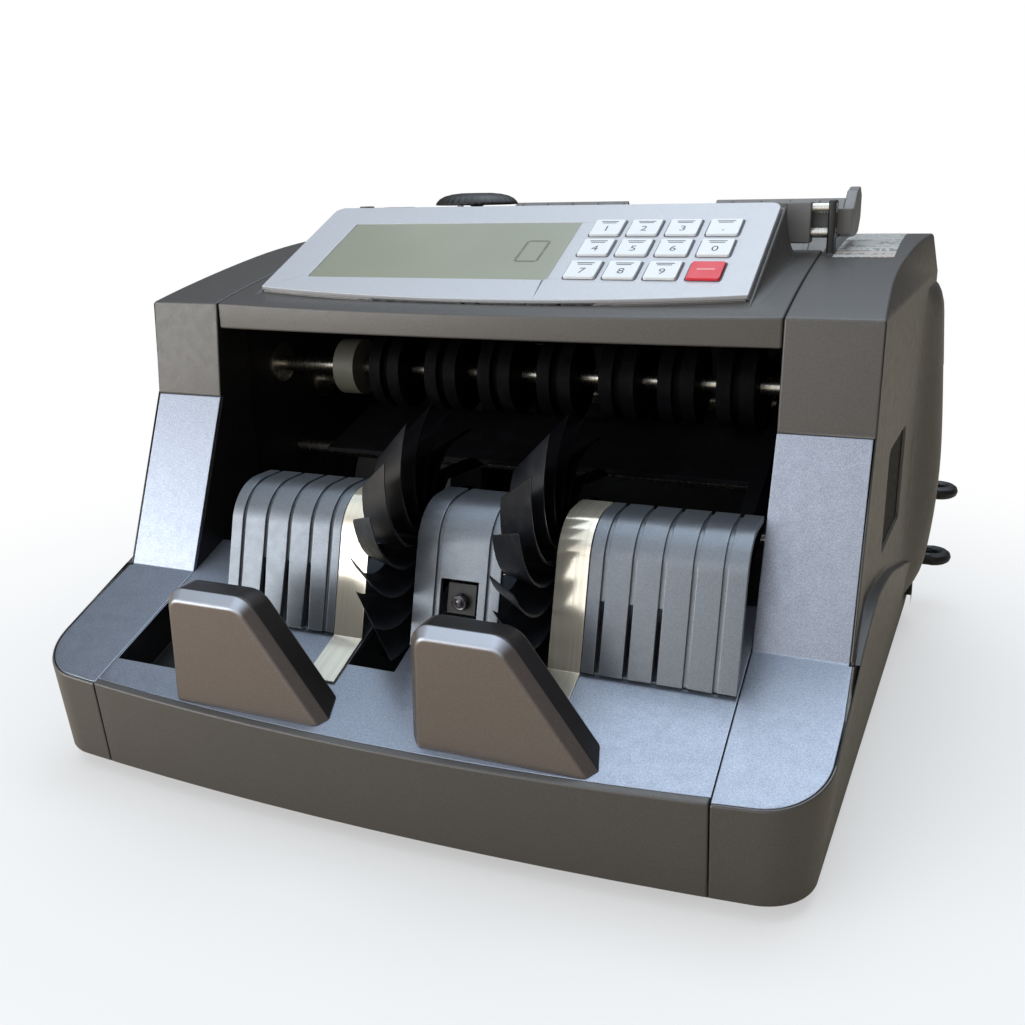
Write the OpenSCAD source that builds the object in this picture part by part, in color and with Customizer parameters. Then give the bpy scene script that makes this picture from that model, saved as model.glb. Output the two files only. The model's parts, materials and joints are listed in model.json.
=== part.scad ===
// Banknote counting machine, desk-top type.
// Millimetres. +X is right as seen from the front, +Y runs to the back, +Z is up.
// The origin lies on the table, on the middle plane of the casing.

/* [Casing] */
// Clear width between the two side covers
inner_w = 208; // [200:1:220]
// Width of one front column
column_w = 29.4; // [26:0.2:32]
// Wall thickness of the moulded covers
wall = 2.5; // [2:0.1:3]
// Distance from the origin to the rear face of the casing
rear_y = 112; // [110:1:120]
// Distance from the origin to the middle of the bowed front rim
front_y = 141; // [139:1:145]
// Radius of the casing's corners in plan
corner_r = 20; // [15:1:24]
// Height of the rubber feet
foot_h = 5.6; // [4.5:0.1:6]

/* [Receiving deck] */
// Slope of the receiving deck in degrees
deck_tilt = 20.7; // [19:0.1:22]
// Width of one stop plate at its foot
stop_w = 59; // [52:1:60]
// Height of the stop plates above the deck
stop_h = 37.8; // [30:0.1:40]
// Number of fins on one stacking wheel
fin_count = 8; // [6:1:10]

/* [Control panel] */
// Slope of the control panel in degrees
panel_tilt = 24.7; // [22:0.1:26]
// Width of the control panel
panel_w = 182; // [178:1:186]
// Width of one key
key_w = 11; // [10:0.5:11.5]
// Depth of one key along the panel
key_d = 11.4; // [10:0.5:12]
// Key travel
key_travel = 0.5; // [0.3:0.1:0.5]

/* [Drive] */
// Radius of the driven shafts
shaft_r = 4; // [3.5:0.5:4]
// Radius of the feed rollers
feed_roller_r = 18; // [17:0.5:19]
// Radius of the pressure rollers above them
press_roller_r = 15; // [14:0.5:16]

/* [Hidden] */
$fn = 64;

// Running clearance on radius for every shaft that turns in a bore
run_gap = 0.05;
// Gap left between pieces that are fitted side by side
fit_gap = 0.2;
// Screw shank and clearance hole radii
screw_r = 1.5;
screw_hole_r = 1.7;

inner_x = inner_w / 2;
column_x = inner_x + column_w;
side_flare = 0.0573;
base_flare = 0.048;
base_x = column_x + 1.3;
reach = 400;

// The deck plane passes through this point, at the foot of the columns
deck_y = -80.9;
deck_z = 57.3;
function deck_height(y) = deck_z + (y - deck_y) * tan(deck_tilt);

// Column front: lean of the silver lower part, then the nearly upright dark part
crease_y = -55;
crease_z = 119.4;
brow_y = -52;
brow_z = 154.3;
// The roof is a long arc whose crown is near the rear
roof_r = 634;
crown_y = 100;
crown_z = 172.5;
function roof_height(y) = crown_z - roof_r + sqrt(pow(roof_r, 2) - pow(y - crown_y, 2));
// Radius of the bowed front rim in plan
bow_r = 1204;

// Front line of the control panel, and its outline along the slope
panel_y = -41.4;
panel_z = 159.5;
panel_depth = 65;
panel_bow = 6;
panel_t = 2;

// Display window and key grid, on the panel
window_x = [-75, 20.7];
window_s = [8, 50.5];
key_cols = [32.2, 46.1, 60.2, 74.6];
key_rows = [14.1, 30, 44.8];

// Shaft centres in the Y-Z plane
stacker_at = [-76.5, 80];
press_at = [-10, 125.5];
feed_gap = 0.2;
press_drop = 20;
feed_reach = feed_roller_r + press_roller_r + feed_gap;
feed_at = press_at + feed_reach * [cos(press_drop), -sin(press_drop)];
pickup_at = [58, 146];
pickup_roller_r = 16;
motor_at = [60, 60];
press_shaft_r = 3;

// Stations across the machine
wheel_x = [-11.5, 36.5];
wheel_w = 14;
wheel_r = 40;
press_x = [-50, -26, -4, 19.5, 43, 64.5, 85];
press_w = 13;
feed_x = [-50, -4, 43, 85];
pickup_x = [-40, 40];
frame_x = inner_x + 2.8;
frame_t = 2;
frame_z = foot_h + 2.1;
bearing_w = 5;
bearing_r = 8;
belt_t = 1.2;
belt_w = 5;
motor_belt_x = -117.5;
pickup_belt_x = -125.5;
stacker_belt_x = 97;
drive_pulley_r = 7;
motor_pulley_r = 6;
feed_pulley_r = 18;
pickup_pulley_r = 12;

// Stacker plate: wraps the stacking shaft, then leans down to the deck
plate_r = 16;
plate_t = 2;
plate_lean = 165;
plate_leg = 34.2;
plate_flange = 9;
groove_w = 1.4;
groove_d = 1.1;

// Hopper floor, from the feed throat up to the rear edge
hopper_foot = [45, 149.4];
hopper_top = [108, 187];
hopper_x = [-78, 103.4];
hopper_t = 3;
// The two raised stretches of the hopper's rear edge
comb_x = [[-47.5, 8], [48.5, 103.4]];
hopper_tilt = atan2(hopper_top.y - hopper_foot.y, hopper_top.x - hopper_foot.x);
rail_y = 30;
rail_z = [175.6, 184.2];
rail_r = 1.8;
rail_x = [-86, 108.6];
guide_bore_r = rail_r + run_gap;

// Gap adjusting knob
knob_at = [-36.5, 37];
knob_z = 187;
spindle_r = 2.5;
separator_z = 131.5;

// Power inlet and switch on the rear cover
rear_t = 2.5;
rear_back = rear_y + rear_t;
inlet_at = [112, 84];
switch_at = [112, 52];

// Colours
dark_grey = [0.36, 0.34, 0.33];
silver = [0.66, 0.70, 0.77];
pale_silver = [0.80, 0.83, 0.88];
bronze = [0.45, 0.42, 0.40];
steel = [0.75, 0.75, 0.73];
black = [0.06, 0.06, 0.07];

// ---------- helpers ----------

// Extrudes a Y-Z outline from x0 to x1
module along_x(x0, x1) {
    translate([x0, 0, 0]) rotate([90, 0, 90]) linear_extrude(x1 - x0) children();
}

// A round bar along X, centred on a point of the Y-Z plane
module bar_x(x0, x1, at, r) {
    translate([x0, at.x, at.y]) rotate([0, 90, 0]) cylinder(h = x1 - x0, r = r);
}

// A tube along X
module tube_x(x0, x1, at, r_out, r_in) {
    difference() {
        bar_x(x0, x1, at, r_out);
        bar_x(x0 - 1, x1 + 1, at, r_in);
    }
}

// A rectangle with rounded corners, given by its lowest and highest corners
module round_rect(low, high, r) {
    offset(r) translate(low + [r, r]) square(high - low - 2 * [r, r]);
}

// Frame of the control panel: x across, y up the slope, z out of the panel
module on_panel() {
    translate([0, panel_y, panel_z]) rotate([panel_tilt, 0, 0]) children();
}

// Frame of the receiving deck at the foot of the columns
module on_deck() {
    translate([0, deck_y, deck_z]) rotate([deck_tilt, 0, 0]) children();
}

// Plan outline of the casing's base, drawn in by inset; the rear corners stay sharp
module base_outline(inset = 0) {
    side_y = -106;
    bow_x = inner_x + 14;
    beyond = 40;
    bow_points = [
        for (i = [0:12])
            let (x = -bow_x + i * bow_x / 6)
            [x, -front_y + bow_r - sqrt(pow(bow_r, 2) - pow(x, 2))]
    ];
    rear_x = base_x + (rear_y + beyond - side_y) * base_flare;
    front_x = base_x - (front_y - 6 + side_y) * base_flare;
    intersection() {
        offset(corner_r - inset) offset(-corner_r)
            polygon(concat(bow_points, [[front_x, -front_y + 6.6], [rear_x, rear_y + beyond],
                [-rear_x, rear_y + beyond], [-front_x, -front_y + 6.6]]));
        translate([-reach, -reach]) square([2 * reach, reach + rear_y - fit_gap - inset]);
    }
}

// Plan outline of the casing above the base, on the right side
module upper_outline(inset = 0) {
    rear_x = column_x + (rear_y - brow_y) * side_flare;
    offset(3 - inset) offset(-3)
        polygon([[60, brow_y - 60], [column_x, brow_y - 60], [column_x, brow_y],
            [rear_x, rear_y], [60, rear_y]]);
}

// Side profile of the casing above the deck, drawn in by inset
module upper_profile(inset = 0) {
    lean = [crease_y - deck_y, crease_z - deck_z] / norm([crease_y - deck_y, crease_z - deck_z]);
    foot = [deck_y, deck_z] - 10 * lean;
    round_r = 12;
    low = foot_h + 6;
    roof = [for (i = [0:18]) let (y = brow_y + i * (crown_y - brow_y) / 18) [y, roof_height(y)]];
    corner = [for (a = [75:-15:0]) [rear_y, crown_z] - round_r * [1, 1] + round_r * [cos(a), sin(a)]];
    offset(delta = -inset)
        polygon(concat([foot, [crease_y, crease_z]], roof, corner, [[rear_y, low], [foot.x, low]]));
}

// Side profile of the base: deck in front of the columns, then a falling ledge
module base_profile(inset = 0) {
    offset(delta = -inset)
        polygon([[-front_y - 5, foot_h], [-front_y - 5, deck_height(-front_y - 5)],
            [deck_y + 10, deck_height(deck_y + 10)], [-58, 64.6], [-45, 66], [-25, 64], [0, 59.5],
            [50, 46], [rear_y, 28], [rear_y, foot_h]]);
}

// The stadium shape round two pulleys
module pulley_hull(a, ra, b, rb) {
    hull() {
        translate(a) circle(ra);
        translate(b) circle(rb);
    }
}

// A flat belt round two pulleys
module belt(x, a, ra, b, rb) {
    slack = 0.15;
    along_x(x - belt_w / 2, x + belt_w / 2) difference() {
        pulley_hull(a, ra + slack + belt_t, b, rb + slack + belt_t);
        pulley_hull(a, ra + slack, b, rb + slack);
    }
}

// A plain pulley
module pulley(x, at, r) {
    bar_x(x - belt_w / 2 - 0.4, x + belt_w / 2 + 0.4, at, r);
}

// ---------- casing ----------

module base_pan() {
    color(black) difference() {
        translate([0, 0, foot_h]) linear_extrude(16) base_outline(wall + 1);
        translate([0, 0, foot_h + 2]) linear_extrude(16) base_outline(wall + 2.6);
        for (p = pan_screws()) translate([p.x, p.y, 0]) cylinder(h = 20, r = screw_hole_r);
        for (p = foot_places()) translate([p.x, p.y, 0]) cylinder(h = 20, r = screw_hole_r);
        for (i = [-4:4]) translate([i * 16 - 2, 40, 0]) cube([4, 46, 20]);
    }
}

function pan_screws() = [for (x = [-60, 60]) for (y = [-90, 20]) [x, y]];
function foot_places() = [for (x = [-116, 116]) for (y = [-106, 88]) [x, y]];

module front_fascia() {
    half = inner_x - fit_gap;
    color(dark_grey) intersection() {
        translate([0, 0, foot_h]) linear_extrude(60) difference() {
            base_outline();
            base_outline(wall);
        }
        along_x(-half, half) polygon([[-front_y - 5, 0], [-front_y - 5, deck_height(-front_y - 5) + 0.5],
            [-120, deck_height(-120) + 0.5], [-120, 0]]);
    }
}

well_x = [-103.2, -76.4];
well_s = [-46.5, -8];
slot_x = [[-20, -3], [27.9, 45.1]];
slot_s = -32;
cheek_x = [-74, 90];
deck_t = 2.5;
deck_back = 20;

module front_deck() {
    half = inner_x - fit_gap;
    color(silver) difference() {
        union() {
            intersection() {
                on_deck() translate([-half, -70, -deck_t]) cube([2 * half, 70 + deck_back, deck_t]);
                linear_extrude(reach) base_outline(wall + fit_gap);
            }
            on_deck() translate([well_x[0] - 0.5, well_s[0] - 1.5, -16])
                cube([well_x[1] - well_x[0] + 2, well_s[1] - well_s[0] + 3, 15]);
            for (x = cheek_x) along_x(x, x + 3) polygon([[-90.5, 52], [-86, 88], [-67, 88], [-63, 58]]);
        }
        on_deck() {
            translate([well_x[0], well_s[0], -14]) cube([well_x[1] - well_x[0], well_s[1] - well_s[0], 20]);
            for (s = slot_x) translate([s[0], slot_s, -10]) cube([s[1] - s[0], 80, 20]);
        }
        for (x = cheek_x) bar_x(x - 1, x + 4, stacker_at, bearing_r + run_gap);
        for (p = deck_screws()) on_deck() translate([p.x, p.y, -20]) cylinder(h = 19, r = screw_hole_r);
    }
}

function deck_screws() = [[-92, -30]];

// Everything outside the slanting shoulder that draws the side in towards the roof
module beyond_shoulder(inset) {
    lean_in = 22.2;
    turn = -3.8;
    translate([column_x - 0.4, brow_y, brow_z]) rotate([0, 0, turn]) rotate([0, -lean_in, 0])
        translate([-inset, -reach / 2, -80]) cube([80, reach, 160]);
}

// The solid mass that a side cover is hollowed from
module side_mass(inset) {
    difference() {
        intersection() {
            along_x(inner_x, 170) upper_profile(inset);
            linear_extrude(reach) upper_outline(inset);
        }
        beyond_shoulder(inset);
    }
    intersection() {
        along_x(inner_x, 170) base_profile(inset);
        translate([0, 0, foot_h]) linear_extrude(reach) base_outline(inset);
    }
}

// The silver inlay: lower column face and the deck beside it
inlay_t = 1.6;
inlay_edge = 0.8;

// Band under the surface of column and deck, between two depths
module inlay_band(t0, t1) {
    module solid_side() {
        polygon([[-170, deck_height(-170)], [deck_y, deck_z], [crease_y, crease_z],
            [crease_y + 2, crease_z + 6], [0, crease_z + 6], [0, -60], [-170, -60]]);
    }
    intersection() {
        difference() {
            offset(delta = -t0) solid_side();
            offset(delta = -t1) solid_side();
        }
        translate([-160, 10]) square([140, crease_z - 10.3]);
    }
}

// The inlay's extent across the machine; grow widens it on every side
module inlay_zone(grow) {
    translate([inner_x - 1, crease_y - 60, 0]) cube([column_w + 1 - inlay_edge + grow, 90, crease_z]);
    linear_extrude(crease_z) intersection() {
        base_outline(1 - grow);
        translate([inner_x - 1, -200]) square([80, 200 + deck_y - 0.6 + grow]);
    }
}

module side_cover(side) {
    edge = inner_x + wall;
    color(dark_grey) mirror([side < 0 ? 1 : 0, 0, 0]) difference() {
        union() {
            side_mass(0);
            if (side > 0) along_x(rail_x[1] - 2.6, rail_x[1]) rail_ear(164);
        }
        difference() {
            side_mass(wall);
            along_x(inner_x - 1, edge)
                polygon([[-200, 0], [-200, 120], [-90, 120], [-90, 200], [-35, 200], [-35, 0]]);
        }
        // The inner side is open behind the columns and below the roof
        along_x(inner_x - 1, edge) polygon([[-34, 10], [-34, roof_height(-34) - wall - 2],
            [50, roof_height(50) - wall - 2], [rear_y - 7, 158], [rear_y - 7, 10]]);
        // The bottom and the rear are closed by the pan and by the rear cover
        intersection() {
            linear_extrude(foot_h + 18) base_outline(wall);
            translate([inner_x - 1, -front_y, 0]) cube([60, 2 * front_y, 60]);
        }
        translate([inner_x - 1, rear_y - wall - 1, 0]) cube([33, 10, 150]);
        // Seat of the silver inlay
        intersection() {
            along_x(inner_x - 1, 170) inlay_band(-1, inlay_t);
            inlay_zone(0);
        }
        if (side > 0) for (z = rail_z) bar_x(inner_x, reach, [rail_y, z], rail_r + 0.02);
        // Shallow grip recess in the outer face
        intersection() {
            along_x(column_x, 170) round_rect([-14, 70], [34, 106], 3);
            linear_extrude(reach) difference() {
                upper_outline(-5);
                upper_outline(1.2);
            }
        }
    }
}

module side_cover_left() { side_cover(-1); }
module side_cover_right() { side_cover(1); }

module column_panel(side) {
    color(silver) mirror([side < 0 ? 1 : 0, 0, 0]) intersection() {
        along_x(inner_x + 0.1, 170) inlay_band(0.02, inlay_t - 0.05);
        inlay_zone(-0.1);
    }
}

module column_panel_left() { column_panel(-1); }
module column_panel_right() { column_panel(1); }

// Plan outline of the top cover, with its bowed brow
module cover_outline(inset = 0) {
    half = inner_x - fit_gap - inset;
    brow_bow_r = 1150;
    difference() {
        translate([-half, -60]) square([2 * half, 60 + cover_back - inset]);
        translate([0, -56.5 + inset - 0.001]) difference() {
            translate([-reach, -20]) square([2 * reach, 30]);
            translate([0, brow_bow_r]) circle(brow_bow_r, $fn = 720);
        }
    }
}

console_half = 92.5;
console_back = 22;
// Rear edge of the top cover, at the front of the hopper throat
cover_back = 36;

// Side profile of the console that carries the control panel
module console_profile(inset = 0) {
    c = cos(panel_tilt);
    s = sin(panel_tilt);
    drop = panel_t / c;
    front = [panel_y - 7 * c, panel_z - 7 * s - drop];
    back = [panel_y + panel_depth * c, panel_z + panel_depth * s - drop];
    offset(delta = -inset)
        polygon([[front.x - 1, 148], front, back, back + [1.5, 0.6], [console_back, back.y - 4],
            [console_back + 8, 160], [console_back + 8, 148]]);
}

module top_cover() {
    low = 144.5;
    half = inner_x - fit_gap;
    color(dark_grey) difference() {
        union() {
            difference() {
                intersection() {
                    translate([0, 0, low]) linear_extrude(60) cover_outline();
                    along_x(-half, half) roof_shape(0);
                }
                intersection() {
                    translate([0, 0, low - 1]) linear_extrude(60) cover_outline(wall);
                    along_x(-half, half) roof_shape(wall);
                }
            }
            difference() {
                along_x(-console_half, console_half) console_profile();
                along_x(-console_half + wall, console_half - wall) console_profile(wall);
            }
            // Ear that holds the left end of the guide rails
            along_x(rail_x[0], rail_x[0] + 3) rail_ear(158);
            // Bridge that carries the knob spindle
            translate([knob_at.x - 5, console_back - 4, 178]) cube([10, 22, 3]);
        }
        // Seat of the panel plate
        on_panel() translate([0, 0, -panel_t - 0.02]) linear_extrude(10) offset(delta = 0.1) panel_outline();
        // The console is open inside and behind the panel
        on_panel() translate([0, 0, -12]) linear_extrude(11)
            round_rect([-panel_w / 2 + 6, 4], [panel_w / 2 - 6, panel_depth - 4], 2);
        translate([-console_half + wall, -30, low - 2]) cube([2 * console_half - 2 * wall, 49, 15]);
        for (z = rail_z) bar_x(-reach, reach, [rail_y, z], rail_r + 0.02);
        translate([knob_at.x, knob_at.y, low - 5]) cylinder(h = 60, r = spindle_r + run_gap);
    }
}

// Outline of an ear that holds the guide rails, rising from the given height
module rail_ear(low) {
    polygon([[25, low], [25.5, 187], [33.8, 187], [34, low]]);
}

// The space under the roof arc and above the brow's lower edge
module roof_shape(inset) {
    intersection() {
        translate([crown_y, crown_z - roof_r]) circle(roof_r - inset, $fn = 720);
        translate([-70, 140]) square([130, 60]);
    }
}

// ---------- control panel ----------

module panel_outline() {
    bow = (pow(panel_w / 2, 2) + pow(panel_bow, 2)) / (2 * panel_bow);
    intersection() {
        round_rect([-panel_w / 2, -panel_bow], [panel_w / 2, panel_depth], 4);
        translate([0, bow - panel_bow]) circle(bow, $fn = 720);
    }
}

module panel_plate() {
    color(pale_silver) on_panel() difference() {
        translate([0, 0, -panel_t + 0.02]) linear_extrude(panel_t) panel_outline();
        translate([0, 0, -5]) linear_extrude(10)
            round_rect([window_x[0], window_s[0]], [window_x[1], window_s[1]], 1);
        for (i = [0:11]) key_place(i) translate([0, 0, -5]) linear_extrude(10)
            square([key_w + 0.5, key_d + 0.5], center = true);
    }
}

module lcd_window() {
    color([0.58, 0.60, 0.52]) on_panel() translate([0, 0, -1.6]) linear_extrude(1.4)
        round_rect([window_x[0] + 0.1, window_s[0] + 0.1], [window_x[1] - 0.1, window_s[1] - 0.1], 1);
}

// Key i of the pad, counted from the front row's left
module key_place(i) {
    translate([key_cols[i % 4], key_rows[floor(i / 4)], 0]) children();
}

module key(i) {
    red_key = 3;
    color(i == red_key ? [0.85, 0.2, 0.2] : [0.95, 0.95, 0.95]) on_panel() key_place(i) {
        translate([0, 0, -3.4]) linear_extrude(4.4)
            offset(0.8) square([key_w, key_d] - [1.6, 1.6], center = true);
        translate([0, 0, -3.4]) linear_extrude(1.2) square([key_w + 1.8, key_d + 1.8], center = true);
        translate([0, 0, -5.4]) cylinder(h = 2.2, r = 2.2);
    }
}

module key_01() { key(0); }
module key_02() { key(1); }
module key_03() { key(2); }
module key_04() { key(3); }
module key_05() { key(4); }
module key_06() { key(5); }
module key_07() { key(6); }
module key_08() { key(7); }
module key_09() { key(8); }
module key_10() { key(9); }
module key_11() { key(10); }
module key_12() { key(11); }

// Circuit board under the panel with the display cell and a switch under each key
module display_board() {
    board_z = -8.6;
    color([0.1, 0.3, 0.2]) on_panel() {
        translate([0, 0, board_z]) linear_extrude(1.6)
            round_rect([-panel_w / 2 + 8, 6], [panel_w / 2 - 8, panel_depth - 6], 2);
        translate([window_x[0] + 1, window_s[0] + 1, board_z + 1.6])
            cube([window_x[1] - window_x[0] - 2, window_s[1] - window_s[0] - 2, 5.2]);
        for (i = [0:11]) key_place(i) translate([0, 0, board_z + 1.6]) cylinder(h = 1, r = 2.6);
    }
}

// ---------- receiving deck ----------

// Outline of a stop plate, seen from the front, with a slanting right edge
module stop_outline(r = 5) {
    stop_top = 31;
    below = 8;
    slant = (stop_w - stop_top) / stop_h;
    offset(r) offset(delta = -r) polygon([[0, -below], [stop_w + slant * below, -below],
        [stop_top, stop_h], [1, stop_h]]);
}

module stop_plate(x) {
    stop_t = 12.5;
    stop_back = -123.6;
    foot_z = deck_height(stop_back - stop_t);
    color(bronze) difference() {
        intersection() {
            translate([x, stop_back, foot_z]) rotate([90, 0, 0]) linear_extrude(stop_t) stop_outline();
            along_x(-reach, reach) polygon([[-150, deck_height(-150) + 0.05],
                [-100, deck_height(-100) + 0.05], [-100, 120], [-150, 120]]);
        }
        translate([x + 2.5, stop_back + 0.5, foot_z - 10]) rotate([90, 0, 0]) linear_extrude(stop_t - 2)
            offset(-2.5) translate([-2.5, 0]) stop_outline();
    }
}

module stop_plate_left() { stop_plate(-72.2); }
module stop_plate_right() { stop_plate(14.4); }

// A bent band that follows the stacker plate, between two distances from its axis
function plate_line(r, leg) = concat(
    [[plate_flange, r]],
    [for (i = [0:15]) let (a = 90 + i * (plate_lean - 90) / 15) r * [cos(a), sin(a)]],
    [r * [cos(plate_lean), sin(plate_lean)] + leg * [cos(plate_lean + 90), sin(plate_lean + 90)]]
);

module plate_band(r_in, r_out, leg = plate_leg) {
    outer = plate_line(r_out, leg);
    inner = plate_line(r_in, leg);
    translate(stacker_at) polygon(concat(outer, [for (i = [len(inner) - 1:-1:0]) inner[i]]));
}

// Ribbed plate that the notes lean on
module stacker_plate(x0, x1, grooves, open_grooves) {
    color(dark_grey) difference() {
        along_x(x0, x1) plate_band(plate_r - plate_t, plate_r);
        for (x = grooves) along_x(x - groove_w / 2, x + groove_w / 2)
            plate_band(plate_r - groove_d, plate_r + 1);
        for (x = open_grooves) translate([x - 1.6, stacker_at.x - 30, deck_z - 1]) cube([3.2, 30, 16]);
    }
}

plate_left_x = [-75, -31.3];
plate_centre_x = [-2.5, 27.5];
plate_right_x = [56.2, 103.6];

module stacker_plate_left() {
    grooves = [-70, -60.7, -51.4, -42.7, -35];
    stacker_plate(plate_left_x[0], plate_left_x[1], grooves, [-60.7, -51.4, -42.7]);
}

sensor_at = [13.6, 67.5];

module stacker_plate_centre() {
    color(dark_grey) difference() {
        stacker_plate(plate_centre_x[0], plate_centre_x[1], [5.5, 23.5], []);
        translate([sensor_at.x - 6.6, stacker_at.x - 40, sensor_at.y - 6]) cube([13.2, 40, 12]);
    }
}

module stacker_plate_right() {
    stacker_plate(plate_right_x[0], plate_right_x[1], [61, 70, 79, 88.3, 97.2], [61, 70, 79]);
}

// Polished spring-steel strip: follows the plate, then runs forward over the deck
module guide_strip(x0, x1) {
    strip_t = 0.8;
    run = 20;
    lift = 0.1;
    down = [cos(plate_lean + 90), sin(plate_lean + 90)];
    radial = [cos(plate_lean), sin(plate_lean)];
    slope = [cos(deck_tilt), sin(deck_tilt)];
    rise = [-sin(deck_tilt), cos(deck_tilt)];
    // Foot: where the strip's front face meets its run over the deck
    top = stacker_at + plate_r * radial;
    gap = (top.y - deck_height(top.x)) * cos(deck_tilt) - lift - strip_t;
    leg = gap / -(down.x * rise.x + down.y * rise.y);
    foot = top + leg * down;
    outer = [for (p = plate_line(plate_r, leg)) p + stacker_at];
    inner = [for (p = plate_line(plate_r - strip_t, leg)) p + stacker_at];
    n = len(inner);
    tip = foot - run * slope;
    color(steel) along_x(x0, x1) polygon(concat(outer, [tip, tip - strip_t * rise, foot - strip_t * rise],
        [for (i = [n - 2:-1:0]) inner[i]]));
}

module guide_strip_left() { guide_strip(-31, -20.3); }
module guide_strip_right() { guide_strip(45.4, 55.9); }

// Reflective sensor that looks through the opening in the centre plate
module stack_sensor() {
    tangent_z = stacker_at.y + plate_r * sin(plate_lean);
    down = (tangent_z - sensor_at.y) / cos(plate_lean - 180);
    color(black) translate([sensor_at.x, stacker_at.x, stacker_at.y]) rotate([plate_lean, 0, 0]) {
        translate([-5, 8.5, down - 5]) cube([10, 5, 10]);
        translate([0, 13.4, down]) rotate([-90, 0, 0]) cylinder(h = 1.6, r = 1.8);
    }
}

// ---------- mechanism ----------

module side_frame(side) {
    holes = [press_at, feed_at, pickup_at];
    color(black) mirror([side < 0 ? 1 : 0, 0, 0]) difference() {
        along_x(frame_x, frame_x + frame_t)
            polygon([[-30, frame_z], [-46, 60], [-40, 138], [-20, 146], [40, 160], [88, 160],
                [88, frame_z]]);
        for (at = holes) bar_x(frame_x - 1, frame_x + 5, at, bearing_r + run_gap);
        bar_x(frame_x - 1, frame_x + 5, motor_at, 6);
        for (at = rod_places()) bar_x(frame_x - 1, frame_x + 5, at, 2 + run_gap);
    }
}

function rod_places() = [[-30, 40], [80, 40], [82, 138], [0, 88]];

module side_frame_left() { side_frame(-1); }
module side_frame_right() { side_frame(1); }

// Cross rods that hold the side frames apart, and the two guide rails
module frame_rods() {
    color(steel) {
        for (at = rod_places()) {
            bar_x(-frame_x - 4, frame_x + 4, at, 2);
            bar_x(-frame_x + 0.1, frame_x - 0.1, at, 3);
        }
        for (z = rail_z) bar_x(rail_x[0], rail_x[1], [rail_y, z], rail_r);
    }
}

module stacker_shaft() {
    color(steel) {
        bar_x(cheek_x[0] - 1, stacker_belt_x + 4, stacker_at, shaft_r);
        pulley(stacker_belt_x, stacker_at, drive_pulley_r);
    }
}

// One curved fin: part of a ring that runs from the hub to the wheel's rim
module fin(hub_r) {
    ring_r = 20;
    ring_c = 25;
    fin_t = 1.2;
    intersection() {
        difference() {
            translate([ring_c, 0]) circle(ring_r + fin_t / 2);
            translate([ring_c, 0]) circle(ring_r - fin_t / 2);
        }
        difference() {
            circle(wheel_r);
            circle(hub_r - 0.3);
        }
        translate([0, 0]) square([60, 40]);
    }
}

// Two finned wheels that carry the notes down onto the deck
module stacker_wheels() {
    hub_r = 9;
    color(black) for (x = wheel_x) along_x(x - wheel_w / 2, x + wheel_w / 2) translate(stacker_at) {
        difference() {
            union() {
                circle(hub_r);
                for (i = [0:fin_count - 1]) rotate(i * 360 / fin_count) fin(hub_r);
            }
            circle(shaft_r + 0.02);
        }
    }
}

module press_shaft() {
    color(steel) bar_x(-frame_x - 6, frame_x + 6, press_at, press_shaft_r);
}

module press_rollers() {
    color(black) for (x = press_x) {
        tube_x(x - press_w / 2, x - 1.5, press_at, press_roller_r, press_shaft_r + 0.02);
        tube_x(x + 1.5, x + press_w / 2, press_at, press_roller_r, press_shaft_r + 0.02);
        tube_x(x - 1.5, x + 1.5, press_at, press_roller_r - 2.5, press_shaft_r + 0.02);
    }
}

module edge_wheel() {
    color([0.85, 0.82, 0.72]) difference() {
        bar_x(-75, -66, press_at, 11);
        bar_x(-76, -72, press_at, 8.5);
        bar_x(-80, -60, press_at, press_shaft_r + 0.02);
    }
    color([0.85, 0.82, 0.72]) tube_x(-75, -71.9, press_at, 5.5, press_shaft_r + 0.02);
}

module feed_shaft() {
    color(steel) {
        bar_x(pickup_belt_x - 4, frame_x + 6, feed_at, shaft_r);
        pulley(motor_belt_x, feed_at, feed_pulley_r);
        pulley(pickup_belt_x, feed_at, pickup_pulley_r);
        pulley(stacker_belt_x, feed_at, drive_pulley_r);
    }
}

module feed_rollers() {
    color(black) for (x = feed_x) tube_x(x - 6, x + 6, feed_at, feed_roller_r, shaft_r + 0.02);
}

module pickup_shaft() {
    color(steel) {
        bar_x(pickup_belt_x - 4, frame_x + 6, pickup_at, shaft_r);
        pulley(pickup_belt_x, pickup_at, pickup_pulley_r);
    }
}

module pickup_rollers() {
    color(black) for (x = pickup_x) tube_x(x - 6, x + 6, pickup_at, pickup_roller_r, shaft_r + 0.02);
}

module shaft_bearings() {
    outer = frame_x - 1.5;
    color(steel) {
        for (at = [feed_at, pickup_at]) for (x = [-outer - bearing_w, outer])
            tube_x(x, x + bearing_w, at, bearing_r, shaft_r + run_gap);
        for (x = [-outer - bearing_w, outer])
            tube_x(x, x + bearing_w, press_at, bearing_r, press_shaft_r + run_gap);
        for (x = cheek_x) tube_x(x - 0.6, x + 3.6, stacker_at, bearing_r, shaft_r + run_gap);
    }
}

// Sheet that leads the notes from the rollers down to the stacking wheels
module note_chute() {
    sheet = 1.6;
    path = [[2, 108], [-3, 105.6], [-20, 100.6], [-33, 97]];
    under = [for (i = [3:-1:0]) path[i] - [0, sheet]];
    color(black) along_x(-72, 93) polygon(concat(path, under));
}

module drive_motor() {
    motor_r = 18;
    color([0.3, 0.3, 0.32]) difference() {
        union() {
            bar_x(-frame_x + 0.2, -56, motor_at, motor_r);
            bar_x(-frame_x - 1.5, -frame_x + 1, motor_at, 5.8);
        }
        bar_x(-frame_x - 5, -frame_x + 22, motor_at, 3 + run_gap);
    }
}

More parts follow.
